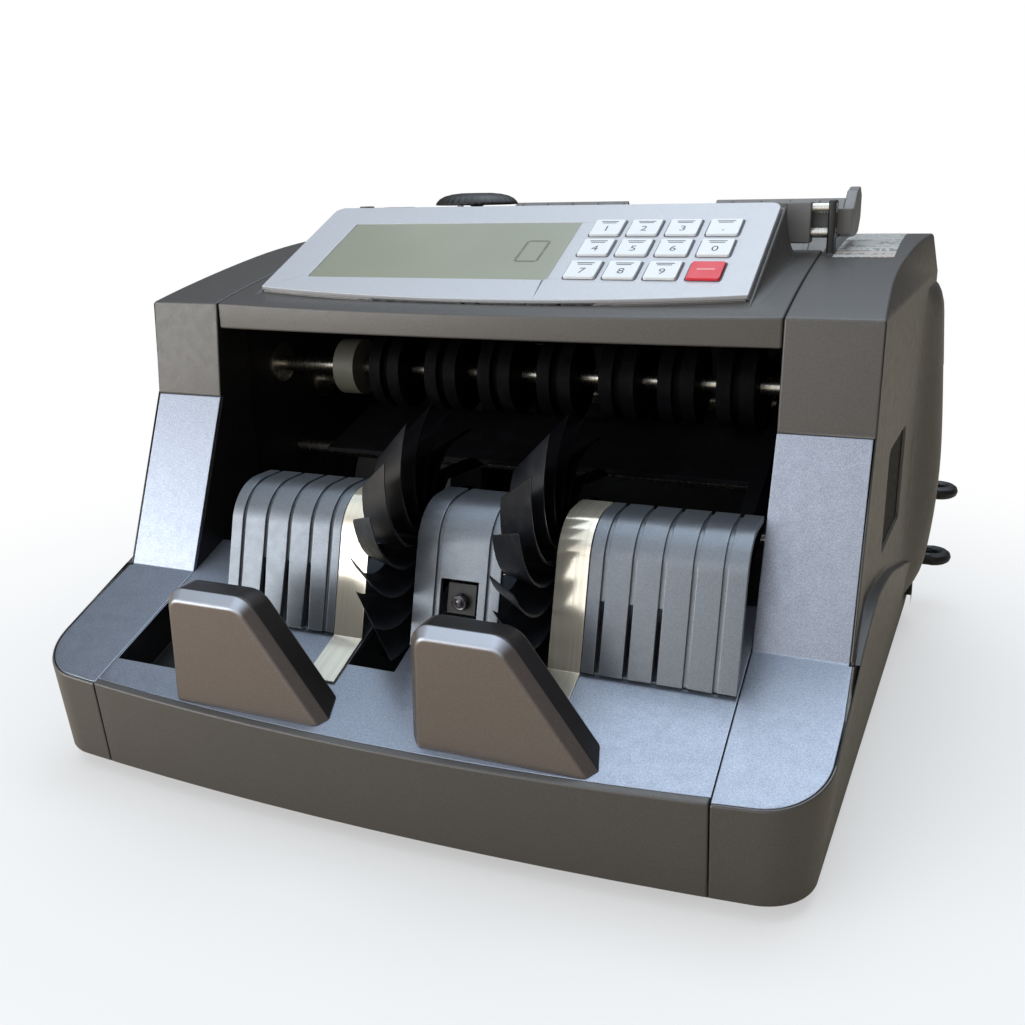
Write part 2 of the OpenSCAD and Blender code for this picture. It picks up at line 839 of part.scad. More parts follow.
module motor_pulley() {
    color(steel) {
        bar_x(motor_belt_x - 5, -frame_x + 20, motor_at, 3);
        pulley(motor_belt_x, motor_at, motor_pulley_r);
    }
}

module drive_belts() {
    color(black) {
        belt(motor_belt_x, feed_at, feed_pulley_r, motor_at, motor_pulley_r);
        belt(pickup_belt_x, feed_at, pickup_pulley_r, pickup_at, pickup_pulley_r);
        belt(stacker_belt_x, feed_at, drive_pulley_r, stacker_at, drive_pulley_r);
    }
}

// Main circuit board on pillars, with its transformer, capacitors and plugs
module main_board() {
    board_z = 18;
    color([0.1, 0.35, 0.2]) {
        translate([-60, -30, board_z]) cube([150, 62, 1.6]);
        translate([40, -22, board_z + 1.6]) cube([42, 36, 34]);
        for (i = [0:2]) translate([-10 + i * 15, 16, board_z + 1.6]) cylinder(h = 22, r = 5);
        for (i = [0:3]) translate([-52, -24 + i * 13, board_z + 1.6]) cube([8, 10, 7]);
        translate([-36, -20, board_z + 1.6]) cube([24, 24, 2.5]);
        for (p = pillar_places()) translate([p.x, p.y, foot_h + 2])
            cylinder(h = board_z - foot_h - 1.9, r = 3);
    }
}

function pillar_places() = [for (x = [-54, 84]) for (y = [-25, 27]) [x, y]];

// ---------- hopper ----------

module hopper_frame() {
    translate([0, hopper_foot.x, hopper_foot.y]) rotate([hopper_tilt, 0, 0]) children();
}

hopper_len = norm(hopper_top - hopper_foot);

// Rear wall below the hopper floor, and the shoulder that fills the gap at its left
module hopper_skirt() {
    half = inner_x - fit_gap - 0.2;
    shoulder_y = cover_back + 0.4;
    along_x(-half, hopper_x[1])
        polygon([[rear_y - 6, 149], [rear_y - 6, 169], [rear_y - 3.5, 166], [rear_y - 3.5, 149]]);
    along_x(hopper_x[0], hopper_x[1])
        polygon([[rear_y - 6, 165], [rear_y - 7, 178], [rear_y - 4.5, 178], [rear_y - 3.5, 165]]);
    for (span = comb_x) along_x(span[0], span[1])
        polygon([[rear_y - 7, 177], [rear_y - 7, 185], [rear_y - 4.7, 186.4], [rear_y - 4.4, 177]]);
    difference() {
        along_x(-half, hopper_x[0] + 2) intersection() {
            translate([crown_y, crown_z - roof_r]) circle(roof_r, $fn = 720);
            polygon([[shoulder_y, 152], [shoulder_y, 180], [rear_y - 8, 180], [rear_y - 3.5, 166],
                [rear_y - 3.5, 152]]);
        }
        along_x(-half + wall, hopper_x[0]) intersection() {
            translate([crown_y, crown_z - roof_r]) circle(roof_r - wall, $fn = 720);
            polygon([[shoulder_y + wall, 140], [shoulder_y + wall, 180], [rear_y - 6, 180],
                [rear_y - 6, 140]]);
        }
    }
}

module hopper_tray() {
    ridge_n = 14;
    ridge_pitch = 12.4;
    color(bronze) difference() {
        union() {
            hopper_frame() {
                translate([hopper_x[0], 0, -hopper_t])
                    cube([hopper_x[1] - hopper_x[0], hopper_len, hopper_t]);
                for (i = [0:ridge_n - 1])
                    translate([hopper_x[0] + 8 + i * ridge_pitch, 14, 0]) cube([2, hopper_len - 16, 0.8]);
            }
            hopper_skirt();
        }
        hopper_frame() {
            for (x = pickup_x) translate([x - 7, -2, -8]) cube([14, 34, 20]);
            // Finger notch in the rear edge, and the lowered left shoulder
            translate([comb_x[0][1], hopper_len - 13, -hopper_t - 1])
                cube([comb_x[1][0] - comb_x[0][1], 30, 20]);
            translate([hopper_x[0] + 2.1, hopper_len - 13, -hopper_t - 1])
                cube([comb_x[0][0] - hopper_x[0] - 2.1, 30, 20]);
        }
    }
}

// Thickness of a note guide's upright blade
blade_t = 4;

// Note guide: an upright blade over the hopper, carried by a block that slides on the two rails
module note_guide(block_x, blade_x, blade_points) {
    low = min(block_x, blade_x);
    high = max(block_x + 12, blade_x + blade_t);
    color([0.5, 0.52, 0.52]) difference() {
        union() {
            translate([block_x, 26, 172]) cube([12, 8.4, 14.5]);
            translate([low, 34.2, 175]) cube([high - low, 3, 9]);
            along_x(blade_x, blade_x + blade_t) offset(3) offset(-3) polygon(blade_points);
        }
        for (z = rail_z) bar_x(-reach, reach, [rail_y, z], guide_bore_r);
    }
}

module note_guide_left() {
    note_guide(-75.5, -75, [[34.5, 172], [34.5, 181], [60, 184], [86, 184], [92, 181], [66, 167], [48, 157],
        [36.6, 157], [36.6, 172]]);
}

module note_guide_right() {
    note_guide(88, 109.6, [[34.6, 174], [34.6, 181], [50, 190], [60, 191.6], [66, 188.5], [67, 180],
        [60, 174.4], [48, 173.4]]);
}

module gap_knob() {
    color(black) translate([knob_at.x, knob_at.y, 0]) {
        difference() {
            translate([0, 0, knob_z]) cylinder(h = 4.7, r = 17);
            for (i = [0:23]) rotate(i * 15) translate([17.4, 0, knob_z - 1]) cylinder(h = 8, r = 1, $fn = 16);
        }
        translate([0, 0, separator_z + 2]) cylinder(h = knob_z - separator_z - 1, r = spindle_r);
    }
}

// Friction block over the feed rollers; the knob's spindle raises and lowers it
module separator_block() {
    color([0.55, 0.25, 0.15]) difference() {
        translate([-58, 30.4, separator_z]) cube([118, 11, 9.5]);
        translate([knob_at.x, knob_at.y, separator_z - 1]) cylinder(h = 30, r = spindle_r + run_gap);
    }
}

// ---------- rear and power ----------

module rear_outline(inset) {
    half = 148;
    round_r = inset == 0 ? 6 : 0.4;
    offset(round_r) offset(-round_r - inset) translate([-half, 60]) square([2 * half, rear_back - 60]);
}

module rear_cover() {
    low = 10;
    high = 148;
    start_y = 90;
    color(dark_grey) difference() {
        intersection() {
            translate([0, 0, low]) linear_extrude(high - low) difference() {
                rear_outline(0);
                rear_outline(rear_t);
            }
            along_x(-reach, reach) polygon([[start_y, low + 8], [start_y + 8, low], [200, low], [200, high],
                [start_y + 14, high], [start_y + 4, high - 12]]);
        }
        translate([inlet_at.x - 14.2, 100, inlet_at.y - 10.2]) cube([28.4, 40, 20.4]);
        translate([switch_at.x - 11.2, 100, switch_at.y - 7.2]) cube([22.4, 40, 14.4]);
        for (i = [0:9]) for (side = [-1, 1]) translate([side * 40 - 25, 100, 30 + i * 7]) cube([50, 40, 3]);
        for (p = rear_screws()) translate([p.x, 90, p.y]) rotate([-90, 0, 0])
            cylinder(h = 40, r = screw_hole_r);
    }
}

function rear_screws() = [for (x = [-96, 96]) for (z = [20, 138]) [x, z]];

module power_inlet() {
    plate_low = switch_at.y - 10;
    plate_high = inlet_at.y + 12.5;
    color(black) difference() {
        union() {
            translate([inlet_at.x - 14, rear_back - 22, inlet_at.y - 10]) cube([28, 22.5, 20]);
            translate([switch_at.x - 11, rear_back - 14, switch_at.y - 7]) cube([22, 14.5, 14]);
            translate([inlet_at.x - 16.5, rear_back + 0.05, plate_low]) cube([33, 2, plate_high - plate_low]);
        }
        translate([inlet_at.x - 12.2, rear_back - 17, inlet_at.y - 8.2]) cube([24.4, 30, 16.4]);
        translate([switch_at.x - 9.3, rear_back - 12.5, switch_at.y - 6.4]) cube([18.6, 30, 12.8]);
    }
    color(steel) translate([inlet_at.x, 0, inlet_at.y])
        for (p = [[-7, -2], [0, 2], [7, -2]]) translate([p.x - 1, rear_back - 18, p.y - 2]) cube([2, 11, 4]);
}

rocker_tilt = 8;

module power_switch() {
    color(black) translate([switch_at.x, rear_back - 3, switch_at.y]) rotate([rocker_tilt, 0, 0])
        rotate([0, 90, 0]) linear_extrude(18, center = true) intersection() {
            circle(5.6);
            translate([-5.6, -4]) square([11.2, 9.2]);
        }
}

// A quarter or half turn of cord in the X-Y plane, starting at the origin towards +X, turning to +Y
module cord_turn(bend_r, angle) {
    translate([0, bend_r, 0]) rotate([0, 0, -90]) rotate_extrude(angle = angle, $fn = 32)
        translate([bend_r, 0]) circle(cord_r, $fn = 10);
}

// A straight stretch of cord along +X
module cord_run(length) {
    rotate([0, 90, 0]) cylinder(h = length, r = cord_r, $fn = 10);
}

cord_r = 2.9;

// Plug in the inlet, the cord tied up in loops behind the right corner, and its free end
module power_cord() {
    plug_back = rear_back + 16.5;
    drop_y = front_y - cord_r;
    high_z = 56;
    low_z = 24;
    near_x = 128;
    loop_x = 151;
    loop_r = 6;
    near_y = drop_y - 2 * loop_r;
    reach_x = loop_x + loop_r + cord_r;
    // Sideways step of the cord on its way to the mains plug
    step_r = 20;
    step_a = 35;
    step_x = 2 * step_r * sin(step_a);
    step_y = 2 * step_r * (1 - cos(step_a));
    step_from = 60;
    tie_w = 5;
    pin_l = 5.9;
    pin_r = 2;
    body_x = [-reach_x + pin_l, -118];
    body_y = drop_y - step_y;
    color(black) {
        // Connector body in the inlet
        translate([inlet_at.x - 12, rear_back - 5.5, inlet_at.y - 8])
            cube([24, plug_back - rear_back + 5.5, 16]);
        // Back from the connector, then down
        translate([inlet_at.x, plug_back, inlet_at.y]) rotate([-90, 0, 90]) cord_turn(drop_y - plug_back, 90);
        translate([inlet_at.x, drop_y, high_z + 10])
            cylinder(h = inlet_at.y - high_z - 10 - (drop_y - plug_back), r = cord_r, $fn = 10);
        // Out to the right
        translate([inlet_at.x, drop_y, high_z + 10]) rotate([0, 90, 0]) rotate([90, 0, 0]) cord_turn(10, 90);
        translate([inlet_at.x + 10, drop_y, high_z]) cord_run(loop_x - inlet_at.x - 10);
        // First loop, level, back towards the casing
        translate([loop_x, drop_y, high_z]) rotate([180, 0, 0]) cord_turn(loop_r, 180);
        translate([near_x, near_y, high_z]) cord_run(loop_x - near_x);
        // Upright half turn down to the second loop
        translate([near_x, near_y, low_z]) rotate([0, 0, 180]) rotate([90, 0, 0])
            cord_turn((high_z - low_z) / 2, 180);
        translate([near_x, near_y, low_z]) cord_run(loop_x - near_x);
        translate([loop_x, near_y, low_z]) cord_turn(loop_r, 180);
        // Along the back to the left, with a step towards the casing
        translate([step_from, drop_y, low_z]) cord_run(loop_x - step_from);
        translate([step_from, drop_y, low_z]) rotate([0, 0, 180]) cord_turn(step_r, step_a);
        translate([step_from - step_x, body_y, low_z]) cord_turn(step_r, step_a);
        // Cable tie round the middle of the step
        translate([step_from - step_x / 2, drop_y - step_y / 2, low_z]) rotate([0, 0, 180 + step_a])
            translate([-tie_w / 2, 0, 0]) rotate([0, 90, 0]) cylinder(h = tie_w, r = cord_r + 0.8);
        translate([body_x[1] - 1, body_y, low_z]) cord_run(step_from - step_x - body_x[1] + 1);
        // Mains plug at the free end
        translate([body_x[0], body_y - 8, low_z - 14]) cube([body_x[1] - body_x[0], 16, 28]);
        for (z = [-6, 6]) translate([-reach_x, body_y, low_z + z]) rotate([0, 90, 0])
            cylinder(h = pin_l + 1, r = pin_r);
    }
}

module rubber_feet() {
    color(black) for (p = foot_places()) translate([p.x, p.y, 0]) difference() {
        cylinder(h = foot_h - 0.02, r = 9);
        translate([0, 0, -1]) cylinder(h = 3, r = 4);
    }
}

module pan_screw(length) {
    cylinder(h = 1.6, r = 3);
    cylinder(h = length, r = screw_r);
}

module screws() {
    color(steel) {
        for (p = rear_screws()) translate([p.x, rear_back + 1.65, p.y]) rotate([90, 0, 0]) pan_screw(5);
        for (p = pan_screws()) translate([p.x, p.y, foot_h - 1.65]) pan_screw(6);
        for (p = deck_screws()) on_deck() translate([p.x, p.y, -12.3]) rotate([180, 0, 0]) pan_screw(6);
    }
}

base_pan();
front_fascia();
front_deck();
side_cover_left();
side_cover_right();
column_panel_left();
column_panel_right();
top_cover();
panel_plate();
lcd_window();
key_01();
key_02();
key_03();
key_04();
key_05();
key_06();
key_07();
key_08();
key_09();
key_10();
key_11();
key_12();
display_board();
stop_plate_left();
stop_plate_right();
stacker_plate_left();
stacker_plate_centre();
stacker_plate_right();
guide_strip_left();
guide_strip_right();
stack_sensor();
side_frame_left();
side_frame_right();
frame_rods();
stacker_shaft();
stacker_wheels();
press_shaft();
press_rollers();
edge_wheel();
feed_shaft();
feed_rollers();
pickup_shaft();
pickup_rollers();
shaft_bearings();
note_chute();
drive_motor();
motor_pulley();
drive_belts();
main_board();
hopper_tray();
note_guide_left();
note_guide_right();
gap_knob();
separator_block();
rear_cover();
power_inlet();
power_switch();
power_cord();
rubber_feet();
screws();
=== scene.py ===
"""Looks of a desk-top banknote counting machine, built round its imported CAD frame."""

import json
import math

import bmesh
import bpy
from mathutils import Matrix, Vector

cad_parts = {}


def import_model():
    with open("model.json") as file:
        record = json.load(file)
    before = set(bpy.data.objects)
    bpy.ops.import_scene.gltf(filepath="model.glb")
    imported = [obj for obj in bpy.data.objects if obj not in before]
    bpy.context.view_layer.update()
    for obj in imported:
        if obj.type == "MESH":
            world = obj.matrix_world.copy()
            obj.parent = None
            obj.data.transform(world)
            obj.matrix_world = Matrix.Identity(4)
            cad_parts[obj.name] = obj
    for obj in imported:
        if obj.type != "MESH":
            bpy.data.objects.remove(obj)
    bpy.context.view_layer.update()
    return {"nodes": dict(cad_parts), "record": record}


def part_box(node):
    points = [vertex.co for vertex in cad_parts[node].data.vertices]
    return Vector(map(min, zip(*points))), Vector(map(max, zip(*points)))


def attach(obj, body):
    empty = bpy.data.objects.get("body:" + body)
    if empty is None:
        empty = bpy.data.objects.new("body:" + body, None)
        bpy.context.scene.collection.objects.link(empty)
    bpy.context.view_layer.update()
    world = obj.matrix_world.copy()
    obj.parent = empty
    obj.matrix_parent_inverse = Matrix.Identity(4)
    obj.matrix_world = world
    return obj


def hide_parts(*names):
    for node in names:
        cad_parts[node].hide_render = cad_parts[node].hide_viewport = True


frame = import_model()
NODES = frame["nodes"]
MM = 0.001


# ---------- material graphs ----------

class Nodes:
    """A node tree, with short calls for the nodes used here."""

    def __init__(self, tree):
        self.tree = tree

    def add(self, kind, **settings):
        """A new node with the given settings."""
        node = self.tree.nodes.new(kind)
        for key, value in settings.items():
            setattr(node, key, value)
        return node

    def put(self, target, value):
        """Links a socket, or sets a plain value."""
        if isinstance(value, bpy.types.NodeSocket):
            self.tree.links.new(value, target)
        elif isinstance(value, (tuple, list)) and len(value) == 3 and target.type == "RGBA":
            target.default_value = (*value, 1.0)
        else:
            target.default_value = value

    def span(self, value, low, high, to_low=0.0, to_high=1.0):
        """Maps low..high smoothly to to_low..to_high."""
        node = self.add("ShaderNodeMapRange", interpolation_type="SMOOTHSTEP")
        for key, item in zip(("Value", "From Min", "From Max", "To Min", "To Max"),
                             (value, low, high, to_low, to_high)):
            self.put(node.inputs[key], item)
        return node.outputs["Result"]

    def dot(self, first, second):
        """Dot product of two vectors."""
        node = self.add("ShaderNodeVectorMath", operation="DOT_PRODUCT")
        self.put(node.inputs[0], first)
        self.put(node.inputs[1], second)
        return node.outputs["Value"]

    def mix_shaders(self, share, first, second):
        """Blends two shaders."""
        node = self.add("ShaderNodeMixShader")
        self.put(node.inputs["Fac"], share)
        self.put(node.inputs[1], first)
        self.put(node.inputs[2], second)
        return node.outputs["Shader"]


class Graph(Nodes):
    """One material's node graph."""

    def __init__(self, name):
        self.material = bpy.data.materials.new(name)
        self.material.use_nodes = True
        super().__init__(self.material.node_tree)
        self.surface = self.tree.nodes["Principled BSDF"]
        self.place = self.add("ShaderNodeTexCoord").outputs["Object"]

    def set(self, **inputs):
        """Sets the surface's inputs; a name's underscores stand for spaces."""
        for key, value in inputs.items():
            self.put(self.surface.inputs[key.replace("_", " ")], value)

    def noise(self, per_mm, detail=2.0, stretch=(1.0, 1.0, 1.0)):
        """Noise with per_mm cells in a millimetre."""
        mapping = self.add("ShaderNodeMapping")
        self.put(mapping.inputs["Vector"], self.place)
        self.put(mapping.inputs["Scale"], Vector(stretch) * per_mm / MM)
        noise = self.add("ShaderNodeTexNoise")
        self.put(noise.inputs["Vector"], mapping.outputs["Vector"])
        self.put(noise.inputs["Scale"], 1.0)
        self.put(noise.inputs["Detail"], detail)
        return noise.outputs["Fac"]

    def mix(self, share, first, second):
        """Blends two colours."""
        node = self.add("ShaderNodeMix", data_type="RGBA")
        self.put(node.inputs["Factor"], share)
        colours = [s for s in node.inputs if s.type == "RGBA"]
        self.put(colours[0], first)
        self.put(colours[1], second)
        return [s for s in node.outputs if s.type == "RGBA"][0]

    def math(self, operation, first, second=0.0):
        """One arithmetic operation."""
        node = self.add("ShaderNodeMath", operation=operation)
        self.put(node.inputs[0], first)
        self.put(node.inputs[1], second)
        return node.outputs[0]

    def edges(self, radius_mm):
        """1 along worn edges, 0 on flat ground."""
        bevel = self.add("ShaderNodeBevel", samples=4)
        self.put(bevel.inputs["Radius"], radius_mm * MM)
        ground = self.add("ShaderNodeNewGeometry").outputs["Normal"]
        return self.span(self.dot(bevel.outputs["Normal"], ground), 0.995, 0.9)

    def facing(self, way, low, high):
        """1 where the surface looks the given way, 0 where it looks well away from it."""
        normal = self.add("ShaderNodeNewGeometry").outputs["Normal"]
        return self.span(self.dot(normal, Vector(way).normalized()), low, high)

    def bump(self, height, depth_mm, strength=1.0, radius_mm=0.0):
        """A bumped normal; radius_mm also rounds sharp edges."""
        node = self.add("ShaderNodeBump")
        self.put(node.inputs["Height"], height)
        self.put(node.inputs["Distance"], depth_mm * MM)
        self.put(node.inputs["Strength"], strength)
        if radius_mm:
            bevel = self.add("ShaderNodeBevel", samples=4)
            self.put(bevel.inputs["Radius"], radius_mm * MM)
            self.put(node.inputs["Normal"], bevel.outputs["Normal"])
        self.put(self.surface.inputs["Normal"], node.outputs["Normal"])


def metallic_paint(name, dark, light, metal, rough, worn, painted_highlight=None, painted_shade=None, flake=2.6):
    """Satin paint with fine metal flakes, the faintest blotches and paler worn edges.

    The first of the two extra colours is a painted highlight on faces that look up and forward; the
    second is painted shade on those that look up or aside."""
    g = Graph(name)
    flakes = g.span(g.noise(flake, 2.0), 0.34, 0.66)
    ground = g.mix(flakes, dark, light)
    if painted_highlight:
        # painted highlight on faces looking up and forward, then painted shade on faces looking up or
        # aside
        ground = g.mix(g.facing((0.0, -0.7, 0.7), 0.8, 0.97), ground, painted_highlight)
        ground = g.mix(g.facing((0.45, 0.2, 0.87), 0.6, 0.8), ground, painted_shade)
    ground = g.mix(g.span(g.noise(0.02, 2.0), 0.3, 0.7, 0.0, 0.1), ground, dark)
    edge = g.math("MULTIPLY", g.edges(0.5), 0.45)
    g.set(Base_Color=g.mix(edge, ground, worn), Metallic=metal,
          Roughness=g.span(g.noise(0.3, 4.0), 0.3, 0.7, rough - 0.03, rough + 0.03))
    g.bump(g.noise(flake, 2.0), 0.008, 0.3, 0.35)
    return g.material


def moulded_plastic(name, colour, rough, grain=0.9, worn=1.6, depth=0.02):
    """Spark-eroded moulded plastic: fine grain, faint scuffs, paler edges."""
    g = Graph(name)
    pale = tuple(min(1.0, c * worn + 0.02) for c in colour)
    scuffs = g.span(g.noise(0.06, 6.0, (1.0, 0.3, 1.0)), 0.55, 0.75, 0.0, 0.22)
    ground = g.mix(scuffs, colour, pale)
    g.set(Base_Color=g.mix(g.math("MULTIPLY", g.edges(0.4), 0.5), ground, pale),
          Roughness=g.span(g.noise(0.2, 4.0), 0.3, 0.7, rough - 0.06, rough + 0.06),
          Specular_IOR_Level=0.45)
    g.bump(g.noise(grain, 3.0), depth, 0.5, 0.25)
    return g.material


def rubber(name, colour, rough, shine=0.35):
    """Dull rubber with dust in its grain."""
    g = Graph(name)
    dusty = tuple(c * 1.5 + 0.002 for c in colour)
    g.set(Base_Color=g.mix(g.span(g.noise(0.15, 5.0), 0.45, 0.75), colour, dusty),
          Roughness=g.span(g.noise(0.5, 3.0), 0.3, 0.7, rough - 0.05, rough + 0.05),
          Specular_IOR_Level=shine)
    g.bump(g.noise(1.2, 3.0), 0.01, 0.4, 0.2)
    return g.material


def flap_rubber(name):
    """Glossy rubber with painted shade: its colour and shine fall to near black deeper inside the
    machine, so only flaps near the mouth catch light.
    """
    g = Graph(name)
    place = g.add("ShaderNodeSeparateXYZ")
    g.put(place.inputs["Vector"], g.add("ShaderNodeNewGeometry").outputs["Position"])
    # painted shade: 0 near the mouth, 1 deeper inside, where colour and shine are dimmed
    inner = g.span(place.outputs["Y"], -0.100, -0.082)
    dust = g.span(g.noise(0.15, 4.0), 0.45, 0.75)
    outer = g.mix(dust, (0.012, 0.013, 0.017), (0.020, 0.021, 0.026))
    g.set(Base_Color=g.mix(inner, outer, (0.002, 0.002, 0.003)),
          Roughness=g.span(g.noise(0.3, 3.0), 0.3, 0.7, 0.32, 0.42),
          Specular_IOR_Level=g.span(inner, 0.0, 1.0, 0.4, 0.05))
    g.bump(g.noise(0.8, 3.0), 0.01, 0.4, 0.2)
    return g.material


def turned_steel(name, colour, rough):
    """Ground steel with fine lines round its axis and a thin film of oil."""
    g = Graph(name)
    lines = g.noise(2.4, 2.0, (1.0, 0.05, 0.05))
    g.set(Base_Color=g.mix(g.span(lines, 0.3, 0.7), colour, tuple(c * 0.85 for c in colour)),
          Metallic=1.0, Roughness=g.span(lines, 0.3, 0.7, rough - 0.02, rough + 0.04))
    g.bump(lines, 0.002, 0.2, 0.15)
    return g.material


def polished_strip(name):
    """Bright stainless strip, faintly brushed along its length; the warm tint of its colour is a painted
    reflection.
    """
    g = Graph(name)
    lines = g.noise(1.6, 2.0, (1.0, 0.02, 0.02))
    g.set(Base_Color=g.mix(g.span(lines, 0.3, 0.7), (0.86, 0.80, 0.68), (0.74, 0.68, 0.56)),
          Metallic=0.62, Roughness=g.span(lines, 0.3, 0.7, 0.10, 0.18))
    g.bump(lines, 0.004, 0.3, 0.1)
    return g.material


def display_glass(name):
    """Grey-green display with soft shading and faint smudges under a clear window."""
    g = Graph(name)
    smudge = g.span(g.noise(0.05, 5.0), 0.5, 0.8)
    ground = g.mix(g.span(g.noise(0.02, 1.0), 0.3, 0.7), (0.29, 0.295, 0.20), (0.25, 0.255, 0.175))
    g.set(Base_Color=g.mix(g.math("MULTIPLY", smudge, 0.25), ground, (0.25, 0.26, 0.21)),
          Roughness=g.span(smudge, 0.0, 1.0, 0.20, 0.34), Specular_IOR_Level=0.5,
          Coat_Weight=0.35, Coat_Roughness=0.12)
    g.bump(g.noise(0.02, 1.0), 0.02, 0.1)
    return g.material


def circuit_board(name, shade=1.0):
    """Green solder mask with copper tracks showing through; a shade below 1 darkens it all as painted
    shade.
    """
    g = Graph(name)
    tracks = g.span(g.noise(0.35, 0.0, (1.0, 0.15, 1.0)), 0.47, 0.53)
    mask = (0.02 * shade, 0.12 * shade, 0.05 * shade)
    copper = (0.05 * shade, 0.22 * shade, 0.1 * shade)
    g.set(Base_Color=g.mix(tracks, mask, copper), Roughness=0.35)
    g.bump(tracks, 0.03, 0.5, 0.1)
    return g.material


def printed(name, ink, paper):
    """Matt printing ink with slightly uneven cover."""
    g = Graph(name)
    g.set(Base_Color=g.mix(g.span(g.noise(3.0, 2.0), 0.62, 0.8), ink, paper), Roughness=0.6)
    g.bump(g.noise(2.0, 2.0), 0.004, 0.3)
    return g.material


def paper_label(name):
    """Glossy paper with rows of small grey marks and a tinted band."""
    g = Graph(name)
    rows = g.noise(0.28, 0.0, (0.12, 1.0, 0.0))
    words = g.noise(0.55, 1.0, (1.0, 0.35, 0.0))
    marks = g.math("MULTIPLY", g.span(rows, 0.52, 0.56), g.span(words, 0.44, 0.5))
    band = g.span(g.noise(0.045, 0.0, (0.05, 1.0, 0.0)), 0.6, 0.64)
    ground = g.mix(band, (0.62, 0.62, 0.60), (0.60, 0.42, 0.36))
    g.set(Base_Color=g.mix(g.math("MULTIPLY", marks, 0.7), ground, (0.16, 0.16, 0.17)),
          Roughness=g.span(g.noise(0.1, 3.0), 0.3, 0.7, 0.32, 0.42))
    g.bump(g.noise(0.05, 2.0), 0.03, 0.3)
    return g.material


def dark_lens(name):
    """Smoked glossy lens."""
    g = Graph(name)
    g.set(Base_Color=g.mix(g.noise(0.5, 2.0), (0.02, 0.02, 0.03), (0.06, 0.05, 0.06)), Roughness=0.08,
          Specular_IOR_Level=0.8, Coat_Weight=0.6)
    g.bump(g.noise(0.5, 2.0), 0.01, 0.1)
    return g.material


SILVER = metallic_paint("deck_silver", (0.25, 0.275, 0.335), (0.345, 0.375, 0.445), 0.78, 0.34,
                        (0.70, 0.74, 0.82))
PANEL = metallic_paint("panel_silver", (0.50, 0.51, 0.545), (0.56, 0.57, 0.605), 0.25, 0.42,
                       (0.75, 0.77, 0.80))
COVER = metallic_paint("cover_grey", (0.092, 0.087, 0.085), (0.113, 0.107, 0.104), 0.4, 0.40,
                       (0.40, 0.39, 0.38))
# its last two colours are a painted highlight and painted shade
BRONZE = metallic_paint("stop_bronze", (0.155, 0.133, 0.124), (0.19, 0.165, 0.154), 0.6, 0.33,
                        (0.62, 0.62, 0.62), (0.46, 0.49, 0.56), (0.045, 0.040, 0.040))
PLATE = metallic_paint("plate_grey", (0.165, 0.182, 0.208), (0.205, 0.226, 0.258), 0.6, 0.34,
                       (0.45, 0.48, 0.52))
GUIDE = moulded_plastic("guide_grey", (0.20, 0.20, 0.20), 0.45)
HOPPER = moulded_plastic("hopper_grey", (0.16, 0.15, 0.145), 0.45)
BLACK = moulded_plastic("black_plastic", (0.012, 0.012, 0.013), 0.42)
FRAME = moulded_plastic("frame_black", (0.010, 0.010, 0.011), 0.55)
MOTOR = moulded_plastic("motor_case", (0.20, 0.20, 0.21), 0.35)
RUBBER = rubber("rubber_black", (0.003, 0.003, 0.004), 0.6, 0.06)
FLAP = flap_rubber("flap_rubber")
# painted shade: the boards inside the machine get the board paint darkened to 0.12
BOARDS_IN_PAINTED_SHADE = circuit_board("board_painted_shade", 0.12)
CHUTE = rubber("chute_black", (0.004, 0.004, 0.005), 0.6, 0.1)
# the cream wheel's colour is darkened as painted shade for its place deep inside the machine
CREAM_IN_PAINTED_SHADE = moulded_plastic("wheel_cream", (0.13, 0.13, 0.105), 0.50)
STEEL = turned_steel("shaft_steel", (0.62, 0.60, 0.55), 0.28)
STRIP = polished_strip("polished_steel")
GLASS = display_glass("display_glass")
BOARD = circuit_board("circuit_board")
KEY_WHITE = moulded_plastic("key_white", (0.80, 0.82, 0.84), 0.42, worn=1.1, depth=0.008)
KEY_RED = moulded_plastic("key_red", (0.72, 0.03, 0.05), 0.40, worn=1.3, depth=0.008)

INK = printed("dark_ink", (0.10, 0.10, 0.13), (0.5, 0.5, 0.55))
LCD_INK = printed("lcd_ink", (0.16, 0.17, 0.13), (0.28, 0.29, 0.22))
KEY_PALE_INK = printed("pale_ink", (0.85, 0.35, 0.36), (0.72, 0.05, 0.07))
LABEL = paper_label("label_paper")
LENS = dark_lens("smoked_lens")

BY_SLOT = {
    "deck_silver": SILVER, "panel_silver": PANEL, "cover_grey": COVER, "stop_bronze": BRONZE,
    "plate_grey": PLATE, "guide_grey": GUIDE, "hopper_grey": HOPPER, "black_plastic": BLACK,
    "frame_black": FRAME, "motor_case": MOTOR, "rubber_black": RUBBER, "wheel_cream": CREAM_IN_PAINTED_SHADE,
    "shaft_steel": STEEL, "polished_steel": STRIP, "display_glass": GLASS,
    "circuit_board": BOARD, "key_white": KEY_WHITE, "key_red": KEY_RED,
}


# ---------- shared shapes and mesh helpers ----------

# The machine's own shape in mm: planes of the deck and the panel, the arch of the roof (its crown as
# y, z), the axis of the stacking wheels (y, z), and the half width between the side covers
DECK_SLOPE = math.radians(20.7)
DECK_POINT = Vector((0.0, -80.9, 57.3))
DECK_NORMAL = Vector((0.0, -math.sin(DECK_SLOPE), math.cos(DECK_SLOPE)))
PANEL_SLOPE = math.radians(24.7)
PANEL_POINT = Vector((0.0, -41.4, 159.5))
ROOF_R = 634.0
CROWN = (100.0, 172.5)
STACKER_AT = (-76.5, 80.0)
INNER_X = 104.0


def roof_height(y):
    """Height of the casing's arched roof at y, in mm."""
    return CROWN[1] - ROOF_R + math.sqrt(ROOF_R ** 2 - (y - CROWN[0]) ** 2)


